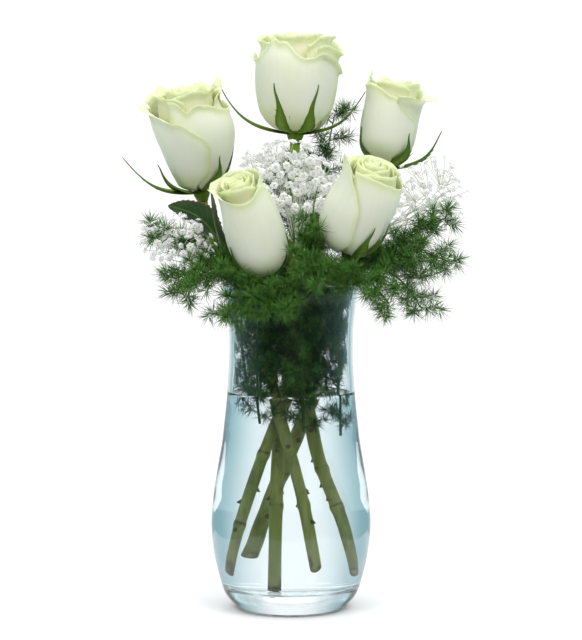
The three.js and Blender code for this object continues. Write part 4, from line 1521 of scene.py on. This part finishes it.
class BOUQUET_OT_rose_heads(bpy.types.Operator):
    """Adds each rose's three loose petals and the furled ones inside them"""

    bl_idname = "bouquet.rose_heads"
    bl_label = "Add Rose Heads"

    def execute(self, context):
        settings = context.scene.bouquet_rose
        material = petal_material(settings)
        for rose in ROSES:
            add_piece(f"{rose}_furled", furled_petals(rose, settings), material, f"{rose}_bud")
            for number in (1, 2, 3):
                part = outer_petal(rose, number, settings)
                add_piece(f"{rose}_loose_{number}", part, material, f"{rose}_petal_{number}")
        return {"FINISHED"}


class BOUQUET_OT_stems(bpy.types.Operator):
    """Adds the cut rose stems and the calyx on top of each"""

    bl_idname = "bouquet.stems"
    bl_label = "Add Stems and Calyxes"

    def execute(self, context):
        settings = context.scene.bouquet_rose
        stem, sepal = stem_material(settings), sepal_material(settings)
        for rose in ROSES:
            add_piece(f"{rose}_cut_stem", stem_part(rose, settings), stem, f"{rose}_stem")
            add_piece(f"{rose}_sepals", calyx_part(rose), sepal, f"{rose}_calyx")
        return {"FINISHED"}


class BOUQUET_OT_leaves(bpy.types.Operator):
    """Adds the rose leaves"""

    bl_idname = "bouquet.leaves"
    bl_label = "Add Rose Leaves"

    def execute(self, context):
        material = leaf_material(context.scene.bouquet_foliage)
        for name in LEAVES:
            add_piece(name.replace("rose_leaf", "leaf"), leaf_part(name), material, name)
        return {"FINISHED"}


class BOUQUET_OT_gypsophila(bpy.types.Operator):
    """Adds the sprigs of baby's breath"""

    bl_idname = "bouquet.gypsophila"
    bl_label = "Add Baby's Breath"

    def execute(self, context):
        material = floret_material(context.scene.bouquet_foliage)
        for name in SPRIGS:
            add_piece(
                name.replace("gypsophila", "sprig"), sprig_part(name), material, name,
                faceted=True
            )
        return {"FINISHED"}


class BOUQUET_OT_ferns(bpy.types.Operator):
    """Adds the fern fronds"""

    bl_idname = "bouquet.ferns"
    bl_label = "Add Fern"

    def execute(self, context):
        settings = context.scene.bouquet_foliage
        material = fern_material(settings)
        for name in FERNS:
            add_piece(name.replace("fern", "frond"), fern_part(name, settings), material, name)
        return {"FINISHED"}


class BOUQUET_PT_panel(bpy.types.Panel):
    """The bouquet's settings and the buttons that make its pieces"""

    bl_label = "Rose Bouquet"
    bl_idname = "BOUQUET_PT_panel"
    bl_space_type = "VIEW_3D"
    bl_region_type = "UI"
    bl_category = "Bouquet"

    def draw(self, context):
        for group, operators in PANEL_ROWS:
            box = self.layout.box()
            settings = getattr(context.scene, group)
            for label in settings.__annotations__:
                box.prop(settings, label)
            for operator in operators:
                box.operator(operator.bl_idname)


PANEL_ROWS = [
    ("bouquet_stage", [BOUQUET_OT_stage]),
    ("bouquet_vase", [BOUQUET_OT_vase]),
    ("bouquet_rose", [BOUQUET_OT_rose_heads, BOUQUET_OT_stems]),
    ("bouquet_foliage", [BOUQUET_OT_leaves, BOUQUET_OT_gypsophila, BOUQUET_OT_ferns]),
]
SETTINGS = {
    "bouquet_stage": StageSettings,
    "bouquet_vase": VaseSettings,
    "bouquet_rose": RoseSettings,
    "bouquet_foliage": FoliageSettings,
}
CLASSES = [*SETTINGS.values(), *(operator for _, row in PANEL_ROWS for operator in row), BOUQUET_PT_panel]


def register():
    for item in CLASSES:
        bpy.utils.register_class(item)
    for name, group in SETTINGS.items():
        setattr(bpy.types.Scene, name, bpy.props.PointerProperty(type=group))


def unregister():
    for name in SETTINGS:
        delattr(bpy.types.Scene, name)
    for item in reversed(CLASSES):
        bpy.utils.unregister_class(item)


def main():
    """Makes every piece in order."""
    register()
    bpy.ops.bouquet.stage()
    bpy.ops.bouquet.vase()
    bpy.ops.bouquet.rose_heads()
    bpy.ops.bouquet.stems()
    bpy.ops.bouquet.leaves()
    bpy.ops.bouquet.gypsophila()
    bpy.ops.bouquet.ferns()
    bpy.context.view_layer.update()


if __name__ == "__main__":
    main()
